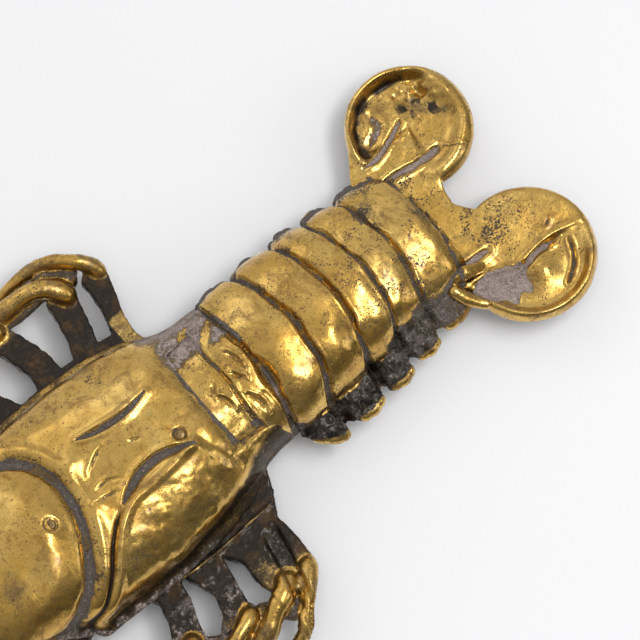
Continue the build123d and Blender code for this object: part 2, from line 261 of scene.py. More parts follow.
def tube(path, radii, sides=16, flat=1.0, up=(0, 0, 1)):
    """Vertices and faces of a closed round-ended bar along a path. flat squeezes it along up."""
    path = np.array(path, float)
    radii = np.array(radii, float)

    def cap(end, before, radius, angles):
        way = end - before
        way = way / np.linalg.norm(way)
        return [(end + way * radius * math.sin(a), radius * math.cos(a)) for a in map(math.radians, angles)]

    rings = cap(path[0], path[1], radii[0], (80, 55, 25)) + list(zip(path, radii))
    rings += cap(path[-1], path[-2], radii[-1], (25, 55, 80))
    tangents = np.gradient(np.array([centre for centre, _ in rings]), axis=0)
    vertices = []
    for (centre, radius), tangent in zip(rings, tangents):
        tangent = tangent / np.linalg.norm(tangent)
        side = np.cross(tangent, up)
        if np.linalg.norm(side) < 1e-3:
            side = np.array([1.0, 0, 0])
        side = side / np.linalg.norm(side)
        over = np.cross(side, tangent)
        vertices += [centre + radius * (c * side + flat * s * over) for c, s in turns(sides)]
    return vertices, barrel(len(rings), sides)


def lathe(centre, profile, sides=72):
    """Vertices and faces of a closed solid turned about an upright line, from (radius, height) points."""
    cx, cy = centre
    vertices = []
    for radius, height in profile:
        vertices += [(cx + radius * c, cy + radius * s, height) for c, s in turns(sides)]
    return vertices, barrel(len(profile), sides)


def prism(outline, low, high):
    """Vertices and faces of an upright prism."""
    n = len(outline)
    vertices = [(x, y, low) for x, y in outline] + [(x, y, high) for x, y in outline]
    faces = [[k, (k + 1) % n, n + (k + 1) % n, n + k] for k in range(n)]
    faces += [list(range(n))[::-1], [n + k for k in range(n)]]
    return vertices, faces


def ball(centre, radii, rings=14, sides=20):
    """Vertices and faces of an ellipsoid."""
    centre, radii = np.array(centre, float), np.array(radii, float)
    vertices = [centre + radii * (0, 0, 1)]
    for i in range(1, rings):
        a = math.pi * i / rings
        wide = math.sin(a)
        vertices += [centre + radii * (wide * c, wide * s, math.cos(a)) for c, s in turns(sides)]
    vertices.append(centre - radii * (0, 0, 1))
    last = 1 + (rings - 2) * sides
    faces = []
    for k in range(sides):
        after = (k + 1) % sides
        faces.append([0, 1 + k, 1 + after])
        faces.append([len(vertices) - 1, last + after, last + k])
        for a, b in ((1 + i * sides + k, 1 + i * sides + after) for i in range(rings - 2)):
            faces.append([a, a + sides, b + sides, b])
    return vertices, faces


def merged(parts):
    """Vertices and faces of several parts as one."""
    vertices, faces = [], []
    for part_vertices, part_faces in parts:
        first = len(vertices)
        vertices.extend(part_vertices)
        faces.extend([[i + first for i in face] for face in part_faces])
    return vertices, faces


def fused(name, parts, voxel_mm, rounds=4):
    """One closed skin round overlapping solids, smoothed a little, as a casting would be."""
    rough = new_object(name + "_rough", *merged(parts))
    remesh = rough.modifiers.new("remesh", "REMESH")
    remesh.mode = "VOXEL"
    remesh.voxel_size = voxel_mm * MM
    relax = rough.modifiers.new("relax", "SMOOTH")
    relax.factor = 0.5
    relax.iterations = rounds
    graph = bpy.context.evaluated_depsgraph_get()
    mesh = bpy.data.meshes.new_from_object(rough.evaluated_get(graph))
    bpy.data.objects.remove(rough)
    mesh.name = name
    mesh.polygons.foreach_set("use_smooth", [True] * len(mesh.polygons))
    return add_object(name, mesh)


# ---------------------------------------------------------------- materials


class Value:
    """One output of a node. Arithmetic on it adds the maths nodes that do it."""

    def __init__(self, nodes, socket):
        self.nodes, self.socket = nodes, socket

    def __add__(self, other):
        return self.nodes.maths("ADD", self, other)

    def __radd__(self, other):
        return self.nodes.maths("ADD", other, self)

    def __sub__(self, other):
        return self.nodes.maths("SUBTRACT", self, other)

    def __rsub__(self, other):
        return self.nodes.maths("SUBTRACT", other, self)

    def __mul__(self, other):
        return self.nodes.maths("MULTIPLY", self, other)

    def most(self, other):
        return self.nodes.maths("MAXIMUM", self, other)

    def ramp(self, low, high):
        """0 at low and 1 at high, smooth between."""
        values = {"Value": self, "From Min": low, "From Max": high}
        return self.nodes.add("MapRange", "Result", values, interpolation_type="SMOOTHSTEP")


class Nodes:
    """A material with a Principled shader, and short calls that add nodes to it."""

    def __init__(self, name):
        self.material = bpy.data.materials.new(name)
        self.material.use_nodes = True
        self.tree = self.material.node_tree
        self.tree.nodes.clear()
        self.shader = self.tree.nodes.new("ShaderNodeBsdfPrincipled")
        out = self.tree.nodes.new("ShaderNodeOutputMaterial")
        self.tree.links.new(self.shader.outputs[0], out.inputs[0])
        self.place = self.add("TexCoord", "Object", {})

    def link(self, source, socket):
        """Joins a value to a socket, or sets the socket to a number or a colour."""
        if isinstance(source, Value):
            self.tree.links.new(source.socket, socket)
        elif socket.type == "RGBA":
            socket.default_value = (*source, 1.0)
        else:
            socket.default_value = source

    def add(self, kind, output, inputs, **settings):
        """Adds a node with some settings and inputs, and gives one of its outputs."""
        node = self.tree.nodes.new("ShaderNode" + kind)
        for key, value in settings.items():
            setattr(node, key, value)
        for key, value in inputs.items():
            self.link(value, node.inputs[key])
        return Value(self, node.outputs[output])

    def surface(self, **inputs):
        """Sets inputs of the shader, whose names are written with underscores here."""
        for key, value in inputs.items():
            self.link(value, self.shader.inputs[key.replace("_", " ")])

    def noise(self, scale, detail=3.0, rough=0.55, stretch=None, warp=0.0):
        place = self.place
        if stretch:
            turn, size = stretch
            place = self.add("Mapping", 0, {"Vector": place, "Rotation": turn, "Scale": size})
        inputs = {"Vector": place, "Scale": scale, "Detail": detail, "Roughness": rough, "Distortion": warp}
        return self.add("TexNoise", 0, inputs)

    def attribute(self, key):
        return self.add("Attribute", "Fac", {}, attribute_name=key)

    def maths(self, operation, a, b):
        return self.add("Math", 0, {0: a, 1: b}, operation=operation)

    def mix(self, factor, a, b):
        """From colour a at 0 to colour b at 1."""
        return self.add("Mix", "Result", {"Factor": factor, "A": a, "B": b}, data_type="RGBA")

    def blend(self, factor, a, b):
        """From number a at 0 to number b at 1."""
        return self.add("Mix", "Result", {"Factor": factor, "A": a, "B": b})

    def bump(self, height, depth_mm, under=None):
        inputs = {"Strength": 1.0, "Distance": depth_mm * MM, "Height": height}
        if under:
            inputs["Normal"] = under
        return self.add("Bump", 0, inputs)


BRASS = (0.60, 0.355, 0.068)
BRASS_PALE = (0.72, 0.47, 0.125)
BRASS_DEEP = (0.40, 0.205, 0.030)
TARNISH = (0.16, 0.105, 0.045)
BROWN = (0.26, 0.135, 0.030)
GRIME = (0.205, 0.172, 0.150)
GRIME_DARK = (0.062, 0.047, 0.036)
GRIME_PALE = (0.40, 0.34, 0.30)
CHALK_AND_HIGHLIGHT = (0.54, 0.42, 0.37)
VERDIGRIS = (0.12, 0.26, 0.19)
SOOT_AND_SHADE = (0.030, 0.023, 0.018)
BROWN_SOOT_AND_SHADE = (0.115, 0.064, 0.027)


def cast_brass(name, polish=1.0):
    """Polished cast brass with pits, scratches and tarnish, and soiling, painted shade and a painted
    highlight where the painted marks say.
    """
    n = Nodes(name)
    broad = n.noise(70, 3, 0.55)
    cloud = n.noise(260, 5, 0.6, warp=0.4)
    grain = n.noise(1500, 5, 0.7)
    fine = n.noise(4200, 3, 0.6)
    scratch = n.noise(420, 4, 0.65, ((0.2, 0.1, 0.9), (1.0, 0.08, 1.0)))
    scratch_two = n.noise(380, 4, 0.65, ((0.5, 0.0, 2.3), (1.0, 0.07, 1.0)))
    # how much grime lies at each place, with a ragged edge; the same mark also holds the painted highlight
    # along the left rim of the carapace
    ragged = (grain - 0.5) * 0.95 + (cloud - 0.5) * 0.7
    level = n.attribute("grime") + ragged
    grime = level.ramp(0.33, 0.66)
    # pits: small dark holes in clusters, thicker where the mark says
    cluster = n.noise(190, 4, 0.65, warp=0.6).ramp(0.42, 0.62)
    crowd = 0.05 + n.attribute("pits") * cluster * 0.22
    pit_level = n.noise(2500, 2, 0.5, warp=0.5) - crowd
    pits = 1.0 - pit_level.ramp(0.215, 0.262)
    halo = 1.0 - pit_level.ramp(0.25, 0.36)
    # colour of the metal, one layer over another
    metal = n.mix(broad.ramp(0.35, 0.66), BRASS, BRASS_PALE)
    stain = n.noise(150, 6, 0.7, warp=0.8).ramp(0.50, 0.68) * 0.72
    blotch = n.noise(420, 6, 0.72, warp=1.2).ramp(0.54, 0.66) * 0.62
    dull = (n.attribute("dull") + ragged).ramp(0.28, 0.78) * 0.80
    specks = n.noise(2600, 2, 0.5).ramp(0.66, 0.72) * 0.6
    green = n.noise(120, 5, 0.6, warp=0.5).ramp(0.66, 0.74) * 0.25
    # the soot mark also holds painted shade: the dark line in the crease and the low band on the left of the
    # carapace, and the foot of a tail lobe's wall
    soot = (n.attribute("soot") + ragged * 0.6).ramp(0.18, 0.68)
    streaky = cloud * 0.7 + grain * 0.3
    soot_colour = n.mix(streaky.ramp(0.48, 0.68), SOOT_AND_SHADE, BROWN_SOOT_AND_SHADE)
    for cover, colour in (
        (cloud.ramp(0.50, 0.76), BRASS_DEEP), (stain, BROWN), (blotch, BROWN), (dull, TARNISH),
        (specks, TARNISH), (green, VERDIGRIS), (halo * 0.55, BROWN), (soot, soot_colour),
    ):
        metal = n.mix(cover, metal, colour)
    # colour of the grime, darker along its edge, which also gives the painted highlight on the carapace's
    # left rim its pale grey
    grime_and_highlight_colour = n.mix(fine.ramp(0.40, 0.68), GRIME_DARK, GRIME)
    grime_and_highlight_colour = n.mix(n.noise(1500, 5, 0.75).ramp(0.55, 0.72), grime_and_highlight_colour, GRIME_PALE)
    chalky = n.mix((fine + ragged * 0.4).ramp(0.40, 0.66), GRIME, CHALK_AND_HIGHLIGHT)
    chalky = n.mix(n.noise(800, 6, 0.8, warp=1.5).ramp(0.58, 0.64), chalky, GRIME_DARK)
    grime_and_highlight_colour = n.mix((n.attribute("chalk") + ragged).ramp(0.30, 0.60), grime_and_highlight_colour, chalky)
    grime_and_highlight_colour = n.mix(level.ramp(0.50, 0.74), GRIME_DARK, grime_and_highlight_colour)
    matte_cover = grime.most(pits * 0.9)
    colour = n.mix(grime, metal, grime_and_highlight_colour)
    colour = n.mix(pits * (1.0 - grime), colour, GRIME_DARK)
    rough = 0.19 / polish + cloud.ramp(0.35, 0.7) * 0.16 + stain * 0.25 + soot.most(dull) * 0.20
    # relief, from the coarsest to the finest
    normal = n.bump(cloud, 0.09)
    normal = n.bump(scratch * 0.6 + scratch_two * 0.5, 0.035, normal)
    normal = n.bump(fine, 0.010, normal)
    normal = n.bump(grain * grime.most(soot * 0.22), 0.32, normal)
    normal = n.bump(1.0 - pits, 0.12, normal)
    n.surface(Base_Color=colour, Normal=normal)
    n.surface(Metallic=1.0 - matte_cover * 0.92, Roughness=n.blend(matte_cover, rough, 0.72))
    # old lacquer, which whitens the brightest reflections
    n.surface(Coat_Weight=(1.0 - matte_cover.most(soot * 0.5)) * 0.6, Coat_Roughness=0.16)
    return n.material


def raw_brass(name):
    """Unpolished brass as cast: dark brown, rough and sooty."""
    n = Nodes(name)
    cloud = n.noise(240, 5, 0.6)
    grain = n.noise(1300, 5, 0.7)
    colour = n.mix(cloud.ramp(0.35, 0.65), (0.055, 0.038, 0.022), (0.17, 0.105, 0.045))
    colour = n.mix(grain.ramp(0.55, 0.75), colour, (0.24, 0.20, 0.17))
    n.surface(Base_Color=colour, Metallic=n.blend(cloud.ramp(0.3, 0.7), 0.55, 0.85))
    n.surface(Roughness=n.blend(cloud, 0.42, 0.66), Normal=n.bump(grain, 0.18, n.bump(cloud, 0.15)))
    return n.material


def worked_steel(name, dark=1.0):
    """Milled steel with tool marks and some rust-brown staining."""
    n = Nodes(name)
    cloud = n.noise(260, 4, 0.6)
    lines = n.noise(900, 3, 0.6, ((0, 0, 0), (1.0, 0.05, 1.0)))
    colour = n.mix(cloud.ramp(0.4, 0.7), (0.42 * dark, 0.41 * dark, 0.40 * dark), (0.20, 0.15, 0.11))
    n.surface(Base_Color=colour, Metallic=1.0)
    n.surface(Roughness=n.blend(lines, 0.28, 0.50), Normal=n.bump(lines, 0.05))
    return n.material


# ---------------------------------------------------------------- back casting: carapace

# the rim's height, the walls, and the radii of the nose and its inside about the hinge
RIM = 11.5
SHELL_WALL, RIM_WALL = 2.4, 2.2
NOSE_R, NOSE_BORE = 11.0, 8.8
# curves seen from above, as (x, y)
CREST_RIGHT = [(2.4, -9.3), (-1.2, -8.1), (-5.6, -7.2), (-10.2, -7.0), (-15.6, -7.8)]
CREST_LEFT = [(3.6, 8.3), (0.6, 6.9), (-3.5, 5.6), (-8.3, 5.4), (-12.3, 6.3), (-16.6, 7.9)]
DOME_LINE = [
    (38.0, -21.5), (27.0, -19.5), (18.7, -16.6), (14.6, -12.8), (12.4, -8.6), (11.6, -3.6),
    (12.3, 2.8), (14.4, 8.6), (17.6, 14.0), (21.8, 18.4), (27.5, 21.4), (36.0, 23.0),
]
FLANK_LEFT = [
    (-18.4, 6.4), (-14.0, 8.0), (-6.0, 8.7), (0.6, 9.0), (5.2, 10.6), (9.8, 14.2), (14.6, 19.2), (20.0, 23.0),
    (27.0, 25.0),
]
FLANK_RIGHT = [(-18.0, -12.5), (-8.0, -13.6), (2.0, -14.2), (8.0, -16.6), (13.0, -20.0), (20.0, -23.5)]
PLUGS = ((-15.5, 4.5), (18.9, 2.1))
PLUG_R, PLUG_LOW = 1.55, 18.6
REAR_HALF, FRONT_HALF = 19.0, 15.0


def carapace_half(x):
    """Half width of the carapace at the rim."""
    xs = [-44.0, -32.0, -28.0, -24.0, -20.0, -12.0, 0.0, 10.0, 20.0, 30.0, 40.0, 48.0, 54.0]
    ws = [18.0, 18.2, 18.9, 20.6, 22.8, 25.0, 25.8, 25.6, 24.6, 22.6, 19.6, 16.6, 13.8]
    return np.interp(x, xs, ws)


def carapace_crown(x):
    """Height of the carapace along the middle."""
    xs = [-44.0, -34.0, -28.0, -20.0, -10.0, 0.0, 8.0, 14.0, 22.0, 32.0, 44.0, 48.0, 52.0]
    zs = [22.6, 24.0, 25.0, 26.2, 26.7, 26.6, 26.4, 26.6, 27.2, 26.6, 25.0, 24.3, 22.0]
    return np.interp(x, xs, zs)


def carapace_rear(y):
    """x of the rear edge, whose two corners lap over the abdomen."""
    edge = -24.2 - 0.9 * ((y - 1.0) / 12.0) ** 2
    return edge - 14.2 * smooth(13.2, 16.6, y) - 14.5 * smooth(-11.5, -17.5, y)


def carapace_front(y):
    """x of the front edge."""
    return 52.2 - 3.2 * (np.abs(y) / 16.0) ** 2.2


def fuller(value, power):
    """A sine or cosine made fuller, so that an arch has squarer shoulders."""
    return np.sign(value) * np.abs(value) ** power


def carapace():
    """The front of the back casting, from the fold over the abdomen to the nose."""
    rows, columns = 300, 330
    u = np.linspace(0, 1, rows)[:, None]
    phi = np.linspace(-math.pi / 2, math.pi / 2, columns)[None, :]
    across = fuller(np.sin(phi), 0.90)
    x = carapace_rear(across * REAR_HALF) * (1 - u) + carapace_front(across * FRONT_HALF) * u
    y = across * carapace_half(x)
    z = RIM + (carapace_crown(x) - RIM) * fuller(np.cos(phi), 0.86)
    base = np.stack([x, y, z], axis=2)
    normal = grid_normals(base)
    height = z - RIM
    lift, grime, pits = np.zeros((3, rows, columns))

    # the two crescents
    for points, wide in ((CREST_RIGHT, 0.62), (CREST_LEFT, 0.95)):
        d, _, along = near_curve(x, y, points)
        width = wide * np.sqrt(np.clip(np.sin(math.pi * np.clip(along, 0.02, 0.98)), 0.03, 1)) + 0.12
        cut = np.exp(-((d / width) ** 4))
        lift -= 0.75 * cut * np.minimum(width / wide, 1)
        caked = 1.0 + 0.15 * noise(base, 1.4, 24)
        grime = np.maximum(grime, caked * np.exp(-((d / (width * 1.06)) ** 3)))
        lift += 0.35 * ridge_profile(d - width * 1.6, 0.8)
    # crisp raised crest just outside the left crescent, which runs on to the edge of the left flank
    d, side, along = near_curve(x, y, FLANK_LEFT, 60)
    outside = signed(d, side, (y > 20) & (x < 5))
    fade = smooth(0.0, 0.10, along)
    lift += fade * 1.30 * ridge_profile(d, 0.88)
    lift += fade * 1.35 * smooth(-0.4, 1.4, outside) * np.exp(-np.clip(outside, 0, None) / 9.0)
    # a thin crease cut on the inner side of the crest; the dark line along it is painted shadow
    crease_and_shadow = ridge_profile(outside + 1.15, 0.42) * smooth(0.42, 0.56, along)
    lift -= 0.75 * crease_and_shadow
    soot = 0.85 * crease_and_shadow
    # soft shoulder of the right flank
    lift += 0.35 * ridge_profile(near_curve(x, y, FLANK_RIGHT)[0], 2.6)
    # the panel between the crests sinks towards the dome
    lift -= 1.15 * spot(x, y, (3.0, -0.4), (7.50, 6.0))
    lift += 0.55 * spot(x, y, (6.6, -6.0), (1.54, 2.2))
    lift += 0.5 * spot(x, y, (7.6, 5.2), (1.26, 1.8))
    for mark in (
        [(4.8, -1.8), (1.8, -3.6), (-0.6, -4.6)],
        [(6.4, 2.4), (3.6, 2.0), (0.6, 3.4)],
        [(-6.0, -1.6), (-8.5, -0.4)],
        [(8.4, 4.2), (4.6, 4.9), (2.6, 5.6)],
    ):
        d, side, along = near_curve(x, y, mark, 12)
        thin = ridge_profile(d, 0.34) * tapered(along, 3, 0.2)
        lift -= 0.34 * thin
        lift += 0.10 * ridge_profile(d * side - 0.8, 0.5)
        grime = np.maximum(grime, 0.56 * thin)
    # the dome and the groove round it
    d, side, _ = near_curve(x, y, DOME_LINE, 70)
    inside = signed(d, side, (x > 25) & (np.abs(y) < 8))
    wander = 0.25 * noise(base, 3.0, 21)
    lift += 1.9 * smooth(0.4, 9.0, inside) - 0.9 * smooth(0, 24, inside)
    lift -= 1.75 * np.exp(-(((d + wander) / 1.30) ** 2))
    caked = 1.0 + 0.16 * noise(base, 1.5, 22) + 0.14 * noise(base, 4.0, 23)
    grime = np.maximum(grime, caked * np.exp(-(((d + wander) / 1.30) ** 3)))
    pits += 0.9 * ridge_profile(d - 1.3, 0.8)
    lift += 0.45 * ridge_profile(inside + 3.3, 1.2)
    # round plugs, each with a narrow ring cut round it
    for px, py in PLUGS:
        d = np.hypot(x - px, y - py)
        lift -= 0.20 * ridge_profile(d - PLUG_R, 0.22)
        grime = np.maximum(grime, 0.56 * ridge_profile(d - PLUG_R, 0.24))
        lift -= 0.35 * (1 - smooth(PLUG_R - 0.3, PLUG_R, d))
    # the lower flank draws in above a thin rim
    low = smooth(9.0, 3.2, height) * smooth(0.2, 2.4, height)
    lift -= 1.5 * low * smooth(-27, -18, x)
    lift += 0.55 * smooth(1.6, 0.2, height)
    grime = np.maximum(grime, 0.36 * smooth(3.4, 0.8, height))
    # painted highlight: a pale grey line along the rim at the front of the left flank
    left_rim_highlight = smooth(2.0, 1.0, height + 0.5 * noise(base, 2.4, 40)) * smooth(-14.0, -6.0, x) * (y > 0)
    grime = np.maximum(grime, 0.64 * left_rim_highlight)
    grime = np.maximum(grime, 0.50 * smooth(6.5, 2.0, height) * smooth(-12, -24, x) * (y < 0))
    # painted shade: a dark band low on the left flank, taller towards the rear, stands in for the dark
    # reflection on that side; on the right only the lowest edge is darkened
    band_top = np.interp(x, [-30, -14, -4, 10, 30], [8.8, 6.6, 4.8, 3.6, 2.6]) + 0.9 * noise(base, 4.0, 38)
    left_shade_band = 0.62 * smooth(band_top + 1.3, band_top - 1.3, height)
    soot = np.maximum(soot, np.where(y > 0, left_shade_band, 0.35 * smooth(2.6, 1.2, height)))
    # rear edge rolls down on to the abdomen
    from_rear, from_front = x - x[:1], x[-1:] - x
    lift -= 1.9 * np.exp(-from_rear / 1.3) + 1.3 * np.exp(-from_front / 1.4)
    seam_width = 1.15 + 0.45 * noise(base, 2.6, 26) + 0.5 * smooth(4.0, 12.0, y)
    caked = (0.80 + 0.30 * noise(base, 1.8, 95)) * ridge_profile(from_rear, seam_width)
    grime = np.maximum(grime, caked * (1 - 0.85 * smooth(13.0, 15.0, y)))
    # pale haze on the right rear corner, with one bright island in it
    haze = smooth(-6.5, -11.5, y + 2.0 * noise(base, 4.0, 27))
    haze = haze * smooth(-20.0, -25.5, x + 2.0 * noise(base, 5.0, 29))
    island = spot(x, y - 0.45 * (x + 31.0), (-31.0, -13.4), (2.6, 1.1))
    # the painted highlight on the left rim is paled here too
    chalk = np.maximum(0.75 * haze, 0.40 * left_rim_highlight)
    grime = np.maximum(grime, (0.74 + 0.14 * noise(base, 1.5, 28)) * haze) * (1 - 0.9 * island)
    grime = np.maximum(grime, 0.60 * smooth(18.5, 15.5, z) * smooth(-23.0, -28.0, x) * (y > 0))
    # dark stain where the rear edge meets its left corner
    corner = spot(x, y, (-24.6, 12.6), (3.2, 3.0), 0.35 * noise(base, 2.4, 33))
    grime = np.maximum(grime, 0.66 * corner)
    # dull patches where the polish hasn't reached
    patch = smooth(0.12, 0.5, noise(base, 7.5, 31))
    pits += 0.35 * patch
    dull = 0.18 * patch
    for px, py, long, wide, strong in (
        (33.6, 7.6, 4.0, 3.4, 0.68), (22.0, 18.0, 6.0, 3.4, 0.45), (0.6, 14.0, 5.0, 3.2, 0.60),
        (-20.0, 15.5, 5.0, 2.6, 0.50), (10.0, 18.5, 6.0, 3.0, 0.50), (-10.0, 19.5, 8.0, 2.4, 0.55),
        (-20.5, -7.0, 4.0, 5.0, 0.34), (5.0, -18.5, 8.0, 2.6, 0.40), (-10.0, -18.0, 6.0, 2.6, 0.34),
    ):
        worn = spot(x, y, (px, py), (long, wide), 0.25 * noise(base, 2.2, 35))
        dull = np.maximum(dull, strong * worn)
        pits += 0.5 * worn
    # the left flank is finely dented
    above = y - np.interp(x, [-20, 0, 10, 20], [8.0, 10.0, 15.0, 22.0])
    dented = smooth(0.6, 3.0, above) * smooth(2.0, 6.0, height)
    lift += dented * (0.09 * noise(base, 2.2, 37) + 0.05 * noise(base, 1.1, 39)) * smooth(14, 6, x)
    grime = np.maximum(grime, 0.10 + 0.14 * noise(base, 3.4, 36))

    lift += lumps(base) * smooth(0.0, 2.5, height)
    lift *= 0.35 + 0.65 * smooth(0.0, 1.0, from_rear)
    outer = base + normal * lift[..., None]
    # round the nose about the hinge, as the casting is
    dx, dz = outer[..., 0] - HINGE[0], outer[..., 2] - HINGE[2]
    in_nose = dx > 0
    cap = np.where(in_nose, NOSE_R, np.interp(outer[..., 0], [38, 44], [40.0, NOSE_R]))
    shrink = np.minimum(1.0, cap / np.maximum(np.hypot(dx, dz), 1e-6))
    outer[..., 0] = np.where(in_nose, HINGE[0] + dx * shrink, outer[..., 0])
    slope = HINGE[2] + (outer[..., 0] - HINGE[0])
    outer[..., 2] = np.where(in_nose, np.maximum(HINGE[2] + dz * shrink, slope), outer[..., 2])
    outer[..., 2] = np.maximum(outer[..., 2], RIM)

    inner = base - normal * SHELL_WALL
    inner[..., 2] = np.clip(np.minimum(inner[..., 2], outer[..., 2] - 0.6), RIM + 0.02, None)
    room = carapace_half(x) - RIM_WALL
    inner[..., 1] = np.clip(inner[..., 1], -room, room)
    near_nose = outer[..., 0] > HINGE[0] - 2
    dx, dz = inner[..., 0] - HINGE[0], inner[..., 2] - HINGE[2]
    reach = np.maximum(np.hypot(dx, dz), 1e-6)
    inner[..., 0] = np.where(near_nose, HINGE[0] + dx / reach * np.minimum(reach, NOSE_BORE), inner[..., 0])
    inner[..., 2] = np.where(near_nose, HINGE[2] + dz / reach * np.minimum(reach, NOSE_BORE), inner[..., 2])
    return shell("carapace", outer, inner, grime=grime, pits=pits, soot=soot, dull=dull, chalk=chalk)


# ---------------------------------------------------------------- back casting: abdomen

# grooves between the rings: x in the middle, and how far the ends lag
GROOVES = [(-31.4, 0.6), (-39.0, 1.9), (-51.4, 3.0), (-62.6, 4.2), (-71.4, 3.8), (-80.0, 3.6), (-90.4, 2.2)]
GROOVE_WIDTH = [0.42, 0.55, 0.70, 0.66, 0.52, 0.55, 0.72]
GROOVE_DEPTH = [0.55, 1.3, 1.25, 1.1, 0.95, 1.0, 1.1]
RING_RISE = [-0.35, 0.15, 1.25, 1.15, 0.95, 0.9, 1.1, 0.0]
# outer edges of the side lobes: half widths by x
LEFT_EDGE = (
    (-94, 15.0), (-86, 20.6), (-78, 22.9), (-66, 24.2), (-54, 25.4), (-45, 26.0), (-40, 22.6), (-36, 18.8),
    (-27, 18.6),
)
RIGHT_EDGE = (
    (-94, 14.6), (-88, 16.8), (-78, 18.2), (-70, 19.6), (-62, 19.0), (-50, 19.2), (-42, 19.0), (-38, 17.6),
    (-27, 17.4),
)
SKIRT_DROP = 2.7
# how far out from the middle the rings are polished, by x
LEFT_BRIGHT = (
    (-90, 13.6), (-75, 14.6), (-69, 16.4), (-64, 17.3), (-57, 20.2), (-51, 21.2), (-43, 21.6), (-38, 17.0),
)
RIGHT_BRIGHT = ((-90, 14.0), (-75, 16.4), (-50, 17.6), (-38, 16.6))
# heights of the foot of the arch and of the lowest edge, and the casting's wall
FOOT_Z, FLOOR_Z = 12.6, 9.6
ABDOMEN_WALL = 2.6


def abdomen():
    """The ringed middle of the back casting, with its scalloped side lobes (pleura)."""
    rows, columns = 400, 300
    x0, x1 = -21.5, -91.6
    u = np.linspace(0, 1, rows)[:, None]
    s = np.linspace(-1, 1, columns)[None, :]
    # the middle of s is the arch, and the ends are the skirt that carries the pleura
    arch = np.clip(s / 0.80, -1, 1)
    skirt = np.clip((np.abs(s) - 0.80) / 0.20, 0, 1)
    phi = arch * math.pi / 2
    station = x0 + (x1 - x0) * u
    xs = [-92, -88, -80, -71, -62, -51, -40, -33, -21]
    half = np.interp(station, xs, [13.2, 14.6, 16.2, 17.0, 17.6, 18.2, 18.0, 17.2, 17.4])
    crown = np.interp(station, xs, [16.4, 18.6, 20.6, 22.2, 23.4, 24.2, 24.0, 23.6, 24.0])
    y = fuller(np.sin(phi), 0.88) * half
    z = FOOT_Z + (crown - FOOT_Z) * fuller(np.cos(phi), 0.84)
    # rings lag at the sides
    lag = 3.0 * np.clip(np.abs(y) / 16.0, 0, 1.25) ** 2
    x = station + lag * smooth(-28, -50, station) * smooth(-94, -84, station)
    # scalloped skirt
    ends = [m + l for m, l in GROOVES]
    pleura = np.zeros_like(x)
    ribs = np.zeros_like(x)
    for front, rear in zip(ends[1:], ends[2:]):
        middle, reach = (front + rear) / 2 - 0.6, abs(front - rear) / 2
        bump = np.clip(1 - ((x - middle) / (reach * 0.80)) ** 2, 0, 1) ** 0.55
        pleura = np.maximum(pleura, bump)
        ribs += ridge_profile(x - middle - 1.3, 0.5) + ridge_profile(x - middle + 1.3, 0.5)
    # the left pleura stand out from the flank, and the right ones are tucked in under it
    left_edge, right_edge = [np.interp(x, *zip(*edge)) for edge in (LEFT_EDGE, RIGHT_EDGE)]
    edge_y = np.where(s > 0, left_edge, right_edge)
    scallop = np.where(s > 0, 1.9, 1.3 + 0.9 * ridge_profile(x + 71.5, 5.0))
    reach_out = edge_y - half - scallop * (1 - pleura) - 0.25 * ribs * pleura
    y = y + np.sign(s) * reach_out * (1 - (1 - skirt) ** 1.6)
    z = z - skirt**1.25 * SKIRT_DROP
    base = np.stack([x, y, z], axis=2)
    normal = grid_normals(base)
    lift, grime, pits = np.zeros((3, rows, columns))
    mids = [m for m, _ in GROOVES]
    wobble = 0.55 * noise(base, 6.0, 41) + 0.25 * noise(base, 2.6, 43)
    flat_x = station + wobble
    for front, rear, rise in zip([x0] + mids, mids + [-96.0], RING_RISE):
        share = np.clip((front - flat_x) / (front - rear), 0, 1)
        within = (flat_x <= front) & (flat_x > rear)
        hump = np.clip(np.sin(math.pi * share), 0, 1) ** 0.62 * (0.75 + 0.5 * share)
        lift += np.where(within, rise * hump + min(rise, 0), 0)
    sideways = np.abs(y)
    for k, middle in enumerate(mids):
        width = GROOVE_WIDTH[k] * (1 + 0.30 * noise(base, 5.0, 50 + k)) + 0.35 * smooth(11, 18, sideways)
        d = np.abs(flat_x - middle)
        if k == 1:
            # worn pocket in front of the first full ring
            pocket = ridge_profile(y - 6.5, 4.2)
            width = width + 0.9 * pocket
            lift -= 1.1 * pocket * ridge_profile(d, 1.6)
            grime = np.maximum(grime, 0.98 * pocket * ridge_profile(d, 1.25 + 0.3 * noise(base, 1.6, 96)))
        lift -= GROOVE_DEPTH[k] * np.exp(-((d / width) ** 2))
        lift += 0.16 * ridge_profile(d - width * 1.5, 0.5)
        cover = 1.0 - (0.9 * ridge_profile(y + 1.6, 1.7) if k == 1 else 0.0)
        caked = 0.66 + 0.34 * noise(base, 1.7, 93) + 0.22 * noise(base, 4.5, 94)
        caked = np.minimum(caked + 0.40 * smooth(9.0, 15.0, sideways), 1.05)
        grime = np.maximum(grime, cover * caked * ridge_profile(d, width * 0.95))
        pits += 1.1 * ridge_profile(d, 1.3) * (0.4 + 0.6 * smooth(4.0, 12.0, sideways))
    # dents and chisel marks in the two rings that the carapace laps over
    recessed = smooth(-40.5, -38.5, flat_x)
    lift += recessed * (0.16 * noise(base, 3.2, 45) + 0.06 * noise(base, 1.5, 46))
    for mark in (
        [(-27.2, 2.6), (-28.6, 4.4), (-28.8, 6.8)], [(-28.6, 0.2), (-27.4, 2.0)],
        [(-33.4, 1.0), (-34.6, 3.4)], [(-35.4, -3.4), (-36.2, -1.0), (-35.6, 1.6)],
        [(-33.0, 6.8), (-34.4, 9.4), (-34.2, 11.6)],
    ):
        d, side, along = near_curve(x, y, mark, 10)
        dent = ridge_profile(d, 0.45) * tapered(along, 3, 0.2)
        lift += -0.45 * dent + 0.30 * ridge_profile(d * side - 0.9, 0.5) * (d < 2.2)
        grime = np.maximum(grime, 0.50 * dent)
